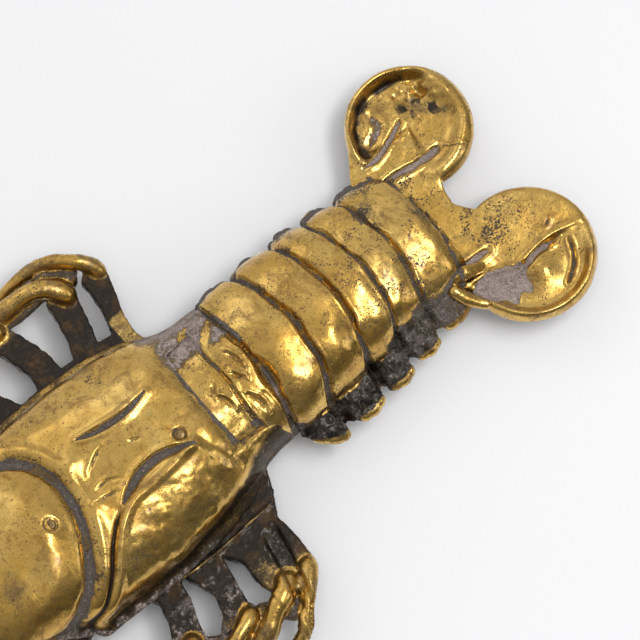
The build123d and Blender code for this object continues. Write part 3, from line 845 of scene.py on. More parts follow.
    # dark streak on the right of that pocket, and a dark corner under the fold on the left
    streak = near_curve(x, y, [(-38.6, -11.6), (-39.2, -7.5), (-39.6, -3.9)], 12)[0]
    grime = np.maximum(grime, 1.0 * ridge_profile(streak, 0.75 + 0.2 * wobble))
    grime = np.maximum(grime, 0.9 * spot(x, y, (-30.6, 12.4), (1.5, 1.3)))
    # flanks stay grey; the tips of the pleura are rubbed bright
    left_bright, right_bright = [np.interp(x, *zip(*edge)) for edge in (LEFT_BRIGHT, RIGHT_BRIGHT)]
    bright_to = np.where(s > 0, np.minimum(left_bright, half + 0.7), np.minimum(right_bright, 17.8))
    flank = smooth(-1.2, 0.9, sideways - bright_to + 0.9 * noise(base, 3.0, 61)) * smooth(-34, -40, station)
    tip = smooth(0.62, 0.86, skirt) * smooth(0.30, 0.70, pleura)
    tip = tip * np.where(s > 0, 1.0, ridge_profile(x + 71.5, 4.0))
    grime = np.maximum(grime, 1.1 * flank)
    grime = grime * (1 - 0.97 * tip)
    rough_flank = flank * (1 - tip)
    lift -= 0.5 * rough_flank * np.abs(noise(base, 1.6, 63))
    haze = smooth(-5.0, -9.0, y + 1.6 * noise(base, 3.4, 64)) * smooth(-40.5, -37.5, station)
    island = spot(x, y - 0.9 * (x + 34.6), (-34.6, -9.6), (3.0, 1.3))
    grime = np.maximum(grime, (0.74 + 0.14 * noise(base, 1.5, 66)) * haze * (1 - 0.85 * island))
    chalk = np.maximum(0.75 * haze, 0.8 * spot(x, y, (-38.2, 10.5), (1.2, 2.5)))
    rear = smooth(-50, -80, station)
    pits += 0.30 + 0.55 * rear * smooth(-0.3, 0.4, noise(base, 6.0, 65))
    grime = np.maximum(grime, 0.24 * smooth(0.0, 0.35, noise(base, 5.5, 67)))
    soot = rough_flank * np.where(s > 0, np.interp(x, [-88, -74, -62], [0.30, 0.60, 1.0]), 0.6)
    bare = np.interp(x, [-84, -62], [0.30, 0.60]) + 0.25 * noise(base, 1.8, 68)
    grime = grime * (1 - rough_flank * np.where(s > 0, bare, 0.2))
    dull = 0.30 * smooth(0.1, 0.6, noise(base, 5.0, 70)) + 0.25 * rear

    lift += lumps(base, 1.5)
    outer = base + normal * lift[..., None]
    outer[..., 2] = np.maximum(outer[..., 2], FLOOR_Z + 0.25 * noise(base, 4.0, 69))
    inner = base - normal * ABDOMEN_WALL
    inner[..., 2] = np.clip(np.minimum(inner[..., 2], z - 0.8), FLOOR_Z, None)
    room = sideways - RIM_WALL
    inner[..., 1] = np.where(room > 0, np.clip(inner[..., 1], -room, room), y)
    return shell("abdomen", outer, inner, grime=grime, pits=pits, soot=soot, dull=dull, chalk=chalk)


# ---------------------------------------------------------------- back casting: tail fan

# centre and radius of the right and the left lobe
LOBES = ((-102.9, -19.7, 15.0), (-104.0, 20.2, 15.9))
LOBE_RIDGE = [
    (-88.0, 16.8), (-94.3, 18.2), (-98.2, 19.8), (-102.2, 20.8), (-108.0, 20.2), (-112.5, 20.6),
    (-118.0, 22.0),
]
# lowest height of the fan and the radius of its rolled edge
FAN_LOW, FAN_EDGE = 8.7, 1.35
WEB = [
    (-82.4, -15.6), (-84.5, -18.9), (-87.5, -22.8), (-91.2, -28.2), (-97.0, -28.0), (-101.5, -8.0),
    (-99.4, -3.2), (-98.8, 0.4), (-100.6, 3.2), (-103.6, 7.0), (-102.0, 18.0), (-95.0, 25.0),
    (-89.0, 18.6), (-84.0, 15.0),
]
UNDER_LAST_RING = [(-80, -13), (-86, -14.5), (-90, -10), (-92, 0), (-90, 10), (-86, 14.5), (-80, 13)]
# grooves of the fan: line, width, depth and grime
FAN_GROOVES = (
    ([(-88.9, -18.9), (-92.6, -18.6), (-97.2, -20.2), (-102.6, -22.4)], 0.58, 0.8, 1.1),
    ([(-98.4, -27.6), (-97.6, -24.6), (-93.6, -22.4)], 0.95, 0.1, 0.62),
    ([(-88.3, -12.6), (-93.1, -13.0), (-98.1, -11.9), (-102.9, -11.9), (-105.3, -12.0)], 0.70, 0.8, 1.1),
    ([(-105.7, -11.8), (-107.6, -9.9), (-109.8, -8.2)], 0.20, 0.25, 0.62),
    ([(-90.6, 13.0), (-94.2, 13.7), (-97.5, 13.8)], 0.70, 0.5, 0.95),
    ([(-95.6, 19.8), (-100.4, 21.9), (-105.5, 21.3), (-111.0, 21.5)], 0.62, 0.5, 0.85),
    ([(-113.2, 23.6), (-112.2, 26.2), (-110.2, 28.8), (-106.6, 31.2)], 0.42, 0.75, 0.72),
    ([(-112.6, 17.3), (-111.2, 18.0)], 0.30, 0.3, 0.6),
    ([(-86.6, 16.4), (-85.0, 19.0), (-84.8, 21.8)], 0.9, 0.5, 0.8),
)


def tail_fan():
    """The two dished lobes of the tail and the web between them."""
    parts = []
    for cx, cy, radius in LOBES:
        flat_r, top_z = radius - FAN_EDGE, FAN_LOW + 2 * FAN_EDGE
        profile = [(0.4, FAN_LOW), (flat_r, FAN_LOW)]
        for a in map(math.radians, range(-75, 80, 30)):
            profile.append((flat_r + FAN_EDGE * math.cos(a), FAN_LOW + FAN_EDGE + FAN_EDGE * math.sin(a)))
        parts.append(lathe((cx, cy), profile + [(flat_r, top_z), (0.4, top_z)]))
    parts.append(prism(WEB, FAN_LOW, FAN_LOW + 2 * FAN_EDGE))
    parts.append(prism(UNDER_LAST_RING, FAN_LOW, 14.5))
    # two small curls beside the last ring, on the left
    parts.append(tube([(-86.6, 14.2, 14.0), (-89.5, 15.0, 13.8), (-93.5, 15.8, 12.6)], [1.5, 1.7, 0.9]))
    parts.append(tube([(-84.8, 16.6, 13.4), (-86.0, 19.6, 12.4), (-88.6, 23.4, 11.8)], [1.6, 1.7, 1.1]))
    obj = fused("tail_fan", parts, 0.34, 6)
    p, normal = read_points(obj.data)
    x, y = p[:, 0], p[:, 1]
    top = smooth(0.25, 0.75, normal[:, 2]) * smooth(-86.5, -88.5, x)
    lift, grime, soot, chalk = np.zeros((4, len(p)))
    pits = np.full(len(p), 0.35)
    dull = 0.45 * smooth(0.0, 0.6, noise(p, 4.0, 78))
    rough = noise(p, 2.2, 71)
    # right lobe: a dish, whose wall is steep on the outer side, with painted shade at its foot, and gentle on
    # the inner side
    (cx, cy, radius), (left_x, left_y, left_radius) = LOBES
    r = np.hypot(x - cx, y - cy) + 0.25 * noise(p, 5.0, 69)
    angle = np.arctan2(y - cy, x - cx)
    near_lobe = (r < radius + 1.5) * smooth(-86.5, -90.5, x)
    steep = smooth(0.10, 0.50, np.cos(angle + math.radians(75)))
    neck = smooth(0.62, 0.95, np.cos(angle - math.radians(38)))
    rim = steep * ridge_profile(r - (radius - 1.0), 0.95)
    rim = rim + (1 - steep) * ridge_profile(r - (radius - 2.6), 2.0)
    lift += near_lobe * 1.35 * rim * (1 - 0.9 * neck)
    into = radius - 1.7 - r
    lift -= near_lobe * steep * 2.1 * smooth(0.0, 1.7, into) * (1 - 0.55 * smooth(3.0, 13.0, into))
    lift -= near_lobe * (1 - steep) * (1 - neck) * 0.95 * smooth(0.5, 5.5, into)
    # painted shade on the foot of the steep outer wall, the side that faces away from the light
    shaded_wall = ridge_profile(into - 1.5, 1.45) * near_lobe * smooth(0.22, 0.60, np.cos(angle + math.radians(62)))
    soot = np.maximum(soot, shaded_wall * (0.58 + 0.40 * rough))
    across = 0.65 * (y + 24.0) - 0.76 * (x + 108.0)
    outwards = -0.73 * (y + 24.0) - 0.63 * (x + 108.0)
    crumple = spot(across, outwards, (0.6, 1.6), (5.6, 2.6)) * near_lobe
    q = p + 0.8 * np.stack([noise(p, 2.4, 72), noise(p, 2.4, 73), 0 * x], axis=1)
    lift += crumple * (1.25 * noise(q * (1.0, 0.7, 1.0), 1.9, 74) + 0.50 * noise(q, 1.0, 75))
    smear = spot(across, outwards, (1.4, -1.6), (6.4, 2.9)) * near_lobe
    dark = smooth(-0.35, 0.30, noise(q * (1.0, 0.45, 1.0), 1.1, 76))
    soot = np.maximum(soot, 0.95 * smear * dark)
    dull = np.maximum(dull, 0.7 * smear)
    lift += spot(x, y, (-99.0, -22.0), (7.0, 6.0)) * near_lobe * 0.14 * noise(p, 0.9, 79)
    for line, wide, deep, strong in FAN_GROOVES:
        d, _, along = near_curve(x, y, line, 24)
        taper = tapered(along, 4.0, 0.30)
        width = wide * (1 + 0.45 * rough) * taper
        lift -= deep * np.exp(-((d / width) ** 4))
        lift += 0.22 * ridge_profile(d - 1.9 * wide, 0.7 * wide)
        band = np.exp(-((d / (width * 1.1)) ** 4))
        grime = np.maximum(grime, strong * band)
        chalk = np.maximum(chalk, band * (wide > 0.5))
    # left lobe: a thin ridge, and in front of it a sunken rough panel, a rounded boss and a rolled rim
    d, side, _ = near_curve(x, y, LOBE_RIDGE, 24)
    before_ridge = d * side * side[np.argmin(np.hypot(x + 100.0, y - 27.0))]
    lobe_r = np.hypot(x - left_x, y - left_y)
    lobe_angle = np.arctan2(y - left_y, x - left_x)
    rolled = smooth(-0.05, 0.45, np.cos(lobe_angle - math.radians(85)))
    lift += 1.25 * rolled * ridge_profile(lobe_r - (left_radius - 1.7), 1.30) * (lobe_r < left_radius + 1.5)
    lift += 0.45 * ridge_profile(d, 0.7) * smooth(16.5, 14.0, lobe_r)
    inner_edge = rolled * smooth(14.6, 12.8, lobe_r) + (1 - rolled) * smooth(14.8, 8.5, lobe_r)
    sunk = smooth(-0.1, 1.3, before_ridge) * smooth(-86.0, -90.5, x) * inner_edge * smooth(-115.5, -109.5, x)
    lift -= 1.25 * sunk
    reach = np.hypot((x + 94.8) / 6.4, (y - 22.2 + 0.25 * (x + 94.8)) / 4.6) + 0.28 * rough
    panel = ridge_profile(np.clip(reach, 0, None) ** 2.2, 1.0)
    lift -= 0.45 * panel
    lift += panel * 0.20 * noise(p, 1.0, 77)
    caked = 0.84 + 0.16 * noise(p, 2.0, 80)
    grime = np.maximum(grime, caked * smooth(0.30, 0.55, panel * (before_ridge > -0.2)))
    chalk = np.maximum(chalk, panel)
    lift += 1.45 * spot(x, y, (-104.2, 25.0), (3.3, 3.4))
    pits += 0.6 * spot(x, y, (-99.5, 9.6), (7.5, 6.0)) + 0.9 * spot(x, y, (-94.0, -8.6), (4.0, 3.4))
    # seam between the last ring and the fan
    seam = ridge_profile(x - (-91.4 + 2.4 * (y / 13.0) ** 2), 1.0) * (np.abs(y) < 17)
    grime = np.maximum(grime, 0.95 * seam)
    grime = np.maximum(grime, 0.9 * ridge_profile(np.hypot(x + 86.8, np.abs(y) - 16.2), 1.6))
    under = smooth(0.0, -0.6, normal[:, 2])
    grime = np.maximum(grime, (0.30 + 0.45 * smooth(-0.2, 0.5, noise(p, 6.0, 82))) * under)
    soot = np.maximum(soot * top, (0.55 + 0.45 * noise(p, 4.0, 87)) * under)
    p[:, 2] += lift * top
    p += normal * (lumps(p, 0.8) * 0.8)[:, None]
    p[:, 2] = np.maximum(p[:, 2], FAN_LOW - 0.1)
    write_points(obj.data, p)
    grime = grime * np.maximum(top, under)
    paint(obj.data, grime=grime, pits=pits, soot=np.clip(soot, 0, 1), dull=dull * top, chalk=chalk * top)
    return obj


# ---------------------------------------------------------------- back casting: inside


SEAT_THICK = 2.4
KNUCKLE_R, KNUCKLE_BORE, KNUCKLE_HALF = 5.0, 2.06, 4.0


def seat_and_knuckle():
    """What the shell carries inside: the seat of the upper jaw and the knuckle on the hinge pin."""
    low, high = box_mm("upper_jaw")
    (x0, x1), (y0, y1) = (low[0] - 3, high[0] + 3), (low[1] - 2, high[1] + 2)
    parts = [prism([(x0, y0), (x1, y0), (x1, y1), (x0, y1)], high[2] + 0.02, high[2] + SEAT_THICK)]
    sides, vertices, faces = 48, [], []
    for y in (-KNUCKLE_HALF, KNUCKLE_HALF):
        for radius in (KNUCKLE_R, KNUCKLE_BORE):
            vertices += [(HINGE[0] + radius * c, y, HINGE[2] + radius * s) for c, s in turns(sides)]
    for k in range(sides):
        # rings 0 and 1 are the outside and the bore at one end, and 2 and 3 the same at the other end
        here = [number * sides + k for number in range(4)]
        after = [number * sides + (k + 1) % sides for number in range(4)]
        faces.append([here[0], after[0], after[1], here[1]])
        faces.append([here[2], here[3], after[3], after[2]])
        faces.append([here[0], here[2], after[2], after[0]])
        faces.append([here[1], after[1], after[3], here[3]])
    parts.append((vertices, faces))
    # web from the knuckle up into the shell
    x0, x1, half = HINGE[0] - 4.6, HINGE[0] + 2.6, KNUCKLE_HALF
    web = prism([(x0, -half), (x1, -half), (x1, half), (x0, half)], HINGE[2] + 4.0, HINGE[2] + 9.0)
    parts.append(web)
    obj = new_object("seat_and_knuckle", *merged(parts), smooth_shade=False)
    bevel = obj.modifiers.new("bevel", "BEVEL")
    bevel.width = 0.35 * MM
    bevel.segments = 3
    bevel.limit_method = "ANGLE"
    return obj


def rivet_plugs():
    """The two rivets of the upper jaw, whose filed ends show on the carapace."""
    parts = []
    for px, py in PLUGS:
        top = surface_height(px, py)
        profile = [
            (0.05, PLUG_LOW), (1.4, PLUG_LOW), (1.4, top - 0.9), (PLUG_R - 0.2, top - 0.5),
            (PLUG_R - 0.25, top - 0.18), (PLUG_R - 0.5, top - 0.02), (0.8, top + 0.06), (0.05, top + 0.08),
        ]
        parts.append(lathe((px, py), profile, 32))
    vertices, faces = merged(parts)
    same = np.ones(len(vertices))
    return new_object("jaw_rivet_plugs", vertices, faces, grime=0.30 * same, dull=0.85 * same)


def surface_height(x, y):
    """Height of the finished carapace at a place."""
    mesh = bpy.data.objects["carapace"].data
    tree = BVHTree.FromPolygons([v.co for v in mesh.vertices], [p.vertices for p in mesh.polygons])
    heights = []
    for dx, dy in ((2.4, 0), (-2.4, 0), (0, 2.4), (0, -2.4)):
        hit = tree.ray_cast(Vector(((x + dx) * MM, (y + dy) * MM, 0.06)), Vector((0, 0, -1)))
        heights.append(hit[0].z / MM)
    return float(np.mean(heights)) - 0.1


# ---------------------------------------------------------------- legs

# flat inner plates of the legs, seen from above, and the rounded outer limbs with their heights
LEFT_PLATES = [
    [(-27.6, 18.6), (-25.0, 24.4), (-21.9, 29.6), (-22.1, 37.0), (-21.8, 42.0), (-17.0, 43.4), (-13.4, 43.0),
     (-9.9, 41.2), (-8.9, 37.2), (-9.5, 32.8), (-7.6, 30.0), (-5.0, 24.0), (-14.0, 20.0)],
    [(-7.0, 24.0), (-6.4, 30.4), (-5.5, 35.2), (-4.4, 41.0), (-1.0, 43.2), (4.8, 42.0), (1.4, 38.5),
     (0.0, 34.2), (1.1, 30.4), (4.0, 24.0)],
    [(3.4, 24.0), (4.4, 31.0), (6.3, 35.6), (7.6, 40.8), (11.6, 41.6), (14.6, 37.6), (11.6, 32.0),
     (10.6, 27.4), (13.5, 23.6)],
]
RIGHT_PLATES = [
    [(-25.6, -19.0), (-25.0, -24.0), (-25.4, -27.6), (-27.0, -32.0), (-28.6, -36.6), (-29.6, -40.8),
     (-26.0, -42.6), (-22.8, -39.8), (-23.0, -37.0), (-22.4, -32.0), (-20.7, -26.2), (-19.0, -19.0)],
    [(-17.0, -20.0), (-16.2, -24.4), (-18.1, -30.2), (-19.5, -35.2), (-20.3, -40.4), (-17.0, -43.0),
     (-13.6, -41.0), (-13.3, -37.4), (-12.0, -31.2), (-9.7, -25.8), (-9.0, -20.0)],
    [(-7.0, -20.0), (-6.8, -26.0), (-7.0, -30.6), (-6.0, -35.8), (-4.2, -41.0), (-2.4, -44.4), (1.4, -44.8),
     (2.0, -41.0), (0.4, -34.8), (-0.5, -30.4), (0.4, -26.0), (1.0, -20.0)],
    [(5.0, -21.0), (5.4, -26.8), (6.4, -29.6), (8.6, -33.6), (10.0, -38.6), (13.6, -39.0),
     (14.6, -35.4), (12.8, -30.4), (11.8, -26.0), (12.0, -21.0)],
]
LEFT_LIMBS = [
    ([(-20.6, 40.6, 9.0), (-19.4, 43.0, 11.2), (-16.0, 46.8, 12.2), (-12.9, 50.2, 11.4), (-9.6, 53.2, 9.4),
      (-3.6, 54.0, 6.0), (3.0, 53.0, 2.0)], 1.95),
    ([(-15.2, 40.4, 9.4), (-13.6, 43.0, 11.6), (-9.0, 45.2, 12.8), (-3.0, 48.4, 11.4), (3.8, 49.4, 7.4),
      (11.0, 48.2, 2.2)], 2.85),
    ([(-4.0, 41.2, 9.2), (-2.2, 43.2, 11.4), (3.0, 45.0, 12.0), (9.0, 46.0, 9.6), (15.4, 46.0, 5.6),
      (22.0, 43.8, 2.2)], 2.35),
    ([(9.0, 38.2, 9.2), (12.2, 40.0, 11.4), (18.6, 41.6, 10.4), (26.0, 41.4, 6.8), (33.0, 38.6, 2.2)], 2.35),
]
RIGHT_LIMBS = [
    ([(-27.6, -37.0, 9.2), (-27.4, -40.8, 11.2), (-24.0, -44.9, 12.4), (-19.0, -48.6, 11.8),
      (-12.5, -49.8, 9.8), (-5.0, -49.4, 7.0), (3.0, -47.8, 2.0)], 2.05),
    ([(-18.6, -37.4, 9.4), (-18.2, -40.6, 11.6), (-14.8, -44.0, 13.0), (-9.6, -45.4, 12.6),
      (-3.0, -45.6, 10.2), (5.0, -46.0, 6.0), (12.0, -45.2, 2.2)], 2.70),
    ([(-1.8, -41.0, 9.2), (0.2, -44.6, 11.4), (5.6, -45.2, 10.8), (13.0, -44.2, 7.0),
      (21.0, -42.4, 2.2)], 2.4),
    ([(9.8, -36.6, 9.2), (13.0, -39.6, 11.4), (20.0, -41.2, 9.6), (27.0, -40.8, 6.0),
      (33.0, -38.4, 2.2)], 2.4),
]
# places along a limb where a web starts, the web's radius and how far its three points lie below the limbs
LEG_WEBS = ((0, 2.6, (3.0, 2.6, 2.4)), (0.5, 2.4, (2.9, 2.7, 2.7)), (1, 2.5, (2.6, 2.4, 2.6)))
PLATE_LOW, PLATE_TOP = 7.2, 11.0
# where a casting lies on the belly, and how far out the carapace covers the legs
ON_BELLY, SHELTERED = 8.05, 24.4
PARTING_LINE = [(-22.4, 26.6), (-17.6, 26.8), (-8.0, 27.3), (-0.5, 27.1), (8.0, 26.2)]


def limb_path(points, radius, count=26):
    """Path and radii of a rounded outer limb with two joints in it."""
    path = spline(points, count)
    s = np.linspace(0, 1, count)
    radii = radius * (1.0 - 0.28 * s) * (0.60 + 0.40 * smooth(0.0, 0.13, s))
    radii *= 0.94 + 0.12 * ridge_profile(s - 0.20, 0.10) + 0.10 * ridge_profile(s - 0.60, 0.08)
    radii *= 1 - 0.07 * ridge_profile(s - 0.50, 0.03)
    return path, radii


def legs(side):
    """One side's leg casting: four legs and the tab that joins them."""
    plates, limbs = (LEFT_PLATES, LEFT_LIMBS) if side > 0 else (RIGHT_PLATES, RIGHT_LIMBS)
    name = "left" if side > 0 else "right"
    seat = box_mm(name + "_leg_rivets")[1][2]
    tab = [(-27.0, 12.0), (20.5, 12.0), (20.5, 24.6), (8.0, 26.6), (-8.0, 27.4), (-20.0, 26.4), (-26.6, 20.0)]
    parts = [prism([(x, side * y) for x, y in tab][::side], ON_BELLY, seat)]
    parts += [prism(plate, PLATE_LOW, PLATE_TOP) for plate in plates]
    parts += [tube(*limb_path(limb, radius), 20, 0.95) for limb, radius in limbs]
    # webs that fill the space between one limb and the next, from the knee outwards
    for (limb, radius), (after, next_radius) in zip(limbs, limbs[1:]):
        for share, web, drops in LEG_WEBS:
            start, end = [(1 - share) * np.array(a) + share * np.array(b) for a, b in (limb[2:4], after[1:3])]
            path = [point - (0, 0, drop) for point, drop in zip((start, (start + end) / 2, end), drops)]
            parts.append(tube(path, [0.7 * radius, web, 0.8 * next_radius], 12))
    obj = fused(name + "_legs", parts, 0.36, 3)
    p, normal = read_points(obj.data)
    x, y = p[:, 0], p[:, 1]
    # the limbs are polished on top and at the sides
    gold, chalk = np.zeros((2, len(p)))
    for limb, radius in limbs:
        path, radii = limb_path(limb, radius)
        d = np.linalg.norm(p[:, None, :] - path[None, :, :], axis=2) / (radii + 0.35)
        begins = 0.15 + 0.85 * smooth(0.02, 0.16, np.argmin(d, axis=1) / (len(path) - 1))
        gold = np.maximum(gold, smooth(1.09, 0.97, np.min(d, axis=1)) * begins)
    gold = gold * smooth(-0.30, 0.40, normal[:, 2] + 0.22 * noise(p, 2.4, 81))
    sideways = side * y
    grain = noise(p, 1.3, 83) + 0.7 * noise(p, 0.7, 84)
    lift = 0.13 * grain * (1 - gold)
    lift += (0.22 * noise(p, 4.4, 85) + 0.08 * noise(p, 2.0, 86)) * gold
    soot = 1.05 - 0.20 * smooth(0.1, 0.8, noise(p, 3.2, 89))
    soot = soot * (1 - 0.40 * smooth(34.5, 41.0, sideways))
    grime = 0.02 + 0.22 * smooth(0.65, 1.3, grain) * (1 - gold)
    if side > 0:
        # a sunken panel between two raised bars, over the two rear legs
        slanted = x - 0.26 * (y - 32.6) + 0.3 * noise(p, 3.0, 90)
        panel = smooth(-20.4, -19.4, slanted) * smooth(-15.9, -16.9, slanted) * smooth(29.6, 32.4, y)
        lift -= 0.7 * panel * (normal[:, 2] > 0.3)
        grime = np.maximum(grime, (0.56 + 0.10 * grain) * panel)
        front_bar = smooth(-16.4, -15.4, slanted) * smooth(-9.0, -9.6, x)
        bars = np.maximum(front_bar, smooth(-19.8, -20.6, slanted))
        bars = bars * smooth(30.0, 33.0, y) * (normal[:, 2] > 0.2)
        lift += 0.35 * bars
        soot = soot * (1 - 0.25 * bars)
        grime = grime * (1 - 0.8 * bars)
        seam = ridge_profile(near_curve(x, y, PARTING_LINE, 24)[0], 0.28) * smooth(0.3, 0.7, normal[:, 2])
        lift += 0.40 * seam
        soot = soot * (1 - 0.75 * seam)
        middle = smooth(-9.0, -6.0, x) * smooth(28.5, 31.5, y)
        grime = np.maximum(grime, (0.56 + 0.20 * grain + 0.16 * noise(p, 5.0, 92)) * middle)
        chalk = 0.32 * middle
    else:
        # bright patch on the root of the rear leg
        patch = smooth(-30.5, -28.0, y + 0.6 * noise(p, 2.0, 91)) * smooth(-21.0, -22.2, x)
        soot = soot * (1 - 0.92 * patch * (normal[:, 2] > 0.2))
    between = smooth(0.75, 0.25, gold) * smooth(39.5, 42.0, sideways) * smooth(0.0, 0.5, normal[:, 2])
    p += normal * lift[:, None]
    p[:, 2] = np.where(sideways < SHELTERED, np.minimum(p[:, 2], seat), p[:, 2])
    p[:, 2] = np.clip(p[:, 2], 0.02, None)
    write_points(obj.data, p)
    soot = np.clip(soot * (1 - gold) * (1 - 0.6 * between), 0, 1)
    grime = np.maximum(grime * (1 - gold), 0.60 * between)
    dull = np.maximum(gold * (0.25 + 0.35 * smooth(-0.2, 0.5, noise(p, 3.0, 88))), 0.62 * (1 - gold))
    paint(obj.data, soot=soot, grime=grime, chalk=chalk, pits=np.full(len(p), 0.4), dull=dull)
    return obj


# ---------------------------------------------------------------- claws, head, eyes and antennae


# grooves of a claw: line, width and depth
CLAW_GROOVES = (
    ([(91.0, 44.0), (92.5, 38.0), (92.0, 32.0), (95.5, 27.0)], 0.55, 0.7),
    ([(66.0, 42.5), (67.5, 36.0), (66.0, 29.0)], 0.55, 0.7),
    ([(50.6, 26.4), (52.4, 31.0), (50.6, 36.0)], 0.6, 0.8),
    ([(63.0, 31.0), (62.6, 36.0), (63.4, 40.5)], 0.6, 0.8),
    ([(39.0, 20.8), (41.4, 25.4), (40.0, 30.4)], 0.6, 0.8),
    ([(72.0, 33.5), (80.0, 31.4), (87.0, 29.4)], 0.5, 0.45),
    ([(98.0, 34.0), (104.0, 30.2), (109.0, 26.0)], 0.4, 0.4),
)
# bars of a claw, from the arm to the fingers: path, radii, sides and flatness
CLAW_BARS = (
    ([(26.0, 19.5, 8.2), (34.0, 22.0, 7.8), (41.0, 26.0, 7.6)], [3.4, 4.2, 4.6], 22, 0.82),
    ([(48.5, 30.2, 7.8), (54.0, 33.0, 8.0), (57.0, 34.4, 8.0)], [4.0, 4.9, 4.2], 22, 0.85),
    ([(62, 35.8, 7.4), (70, 34.6, 7.4), (80, 32.0, 7.2), (88, 29.6, 6.9), (94, 28.6, 6.4)],
     [5.4, 8.8, 12.4, 12.2, 8.6], 34, 0.56),
    ([(84, 35.6, 6.8), (95, 36.2, 6.6), (105, 31.6, 6.2), (111.5, 26.6, 5.8), (114.6, 23.2, 5.4)],
     [8.2, 6.6, 4.6, 3.0, 1.7], 26, 0.70),
    ([(84, 22.6, 6.6), (95, 18.6, 6.4), (103, 16.4, 6.0), (109.4, 15.2, 5.4)],
     [6.0, 4.6, 3.2, 1.6], 24, 0.74),
)
CLAW_TAB = [(23.2, 10.8), (35.4, 10.8), (35.4, 22.0), (23.2, 22.0)]


def claw(side):
    """One claw casting: tab, jointed arm, palm and two toothed fingers."""
    name = "left" if side > 0 else "right"
    top = box_mm(name + "_claw_rivet")[1][2]
    parts = [prism([(x, side * y) for x, y in CLAW_TAB][::side], ON_BELLY, top)]
    for path, radii, sides, flat in CLAW_BARS:
        parts.append(tube([(x, side * y, z) for x, y, z in path], radii, sides, flat))
    parts.append(ball((46.0, side * 29.3, 7.8), (5.6, 5.2, 4.8)))
    parts.append(ball((59.5, side * 35.6, 7.8), (4.8, 4.6, 4.5)))
    # teeth on both fingers, and spines along the outer edge of the palm
    studs = []
    for share in np.linspace(0.12, 0.92, 7):
        studs.append(((95.0 + 17.0 * share, 29.2 - 5.6 * share, 6.1), (1.25, 1.5, 1.15)))
        studs.append(((94.0 + 13.0 * share, 22.4 - 5.6 * share, 6.0), (1.15, 1.4, 1.05)))
    studs.pop()
    for share in np.linspace(0.0, 1.0, 5):
        studs.append(((68.0 + 26.0 * share, 40.6 + 2.2 * math.sin(math.pi * share), 7.6), (2.0, 1.9, 1.7)))
    parts += [ball((x, side * y, z), radii, 8, 12) for (x, y, z), radii in studs]
    obj = fused(name + "_claw", parts, 0.5, 5)
    p, normal = read_points(obj.data)
    x, y = p[:, 0], side * p[:, 1]
    mirrored = np.stack([x, y, p[:, 2]], axis=1)
    grime = np.zeros(len(p))
    lift = lumps(mirrored, 1.1)
    top_face = smooth(0.1, 0.6, normal[:, 2])
    for line, wide, deep in CLAW_GROOVES:
        d, _, along = near_curve(x, y, line, 24)
        fade = tapered(along, 4, 0.35)
        groove = ridge_profile(d, wide * (1 + 0.2 * noise(mirrored, 3.0, 91))) * top_face * fade
        lift -= deep * groove
        lift += 0.22 * ridge_profile(d - 2.4 * wide, wide) * top_face
        grime = np.maximum(grime, 1.0 * smooth(0.35, 0.7, groove))
    bumps = np.clip(noise(mirrored, 2.6, 92), 0.25, 1) - 0.25
    lift += 0.7 * bumps * top_face * smooth(64, 72, x)
    p += normal * lift[:, None]
    p[:, 2] = np.where(x < 35.6, np.minimum(p[:, 2], np.where(y < 22.0, top, 14.0)), p[:, 2])
    p[:, 2] = np.clip(p[:, 2], 0.05, None)
    write_points(obj.data, p)
    under = smooth(0.0, -0.6, normal[:, 2])
    mouth = smooth(2.6, 0.8, np.abs(y - (25.6 - 0.40 * (x - 96.0)))) * smooth(93.0, 96.0, x)
    grime = np.maximum.reduce([grime, 0.56 * under, 0.75 * mouth * (1 - top_face)])
    pits = 0.3 + 0.5 * smooth(0.0, 0.5, noise(mirrored, 8.0, 93))
    paint(obj.data, grime=grime, soot=0.55 * under + smooth(37.0, 33.0, x) * 0.8, pits=pits)
    return obj


# the head block's cross-sections: x, half width and height of the middle
HEAD_SECTIONS = (
    (51.0, 12.2, 15.6), (56.0, 11.4, 15.6), (61.0, 9.6, 15.4), (66.0, 7.0, 15.4), (70.0, 4.8, 16.0),
    (75.0, 2.9, 17.2), (80.5, 0.9, 18.6),
)
# brow ridge, antenna root and mouth part of one side: path, radii and sides
HEAD_BARS = (
    ([(53.5, 6.4, 19.6), (58.0, 7.6, 19.8), (62.0, 7.4, 18.8)], [1.6, 1.7, 1.2], 16),
    ([(62.0, 4.2, 13.4), (67.0, 4.6, 14.8), (71.5, 6.0, 16.2)], [2.9, 2.4, 1.9], 20),
    ([(60.0, 3.2, 10.4), (66.5, 2.9, 11.2), (72.0, 1.7, 12.4)], [2.2, 1.8, 0.9], 16),
)
# grooves of one side
HEAD_GROOVES = ([(52.0, 5.0), (60.0, 4.0), (70.0, 2.2)], [(66.0, 7.6), (65.0, 4.0), (65.6, 2.6)])
# reach of the hollow in the head about the hinge, by the angle above the pin
HEAD_CLEAR = ([22.0, 34.0, 45.0, 56.0], [11.5, 12.6, 13.6, 14.8])
HEAD_REAR, HEAD_LOW = 51.2, 8.03


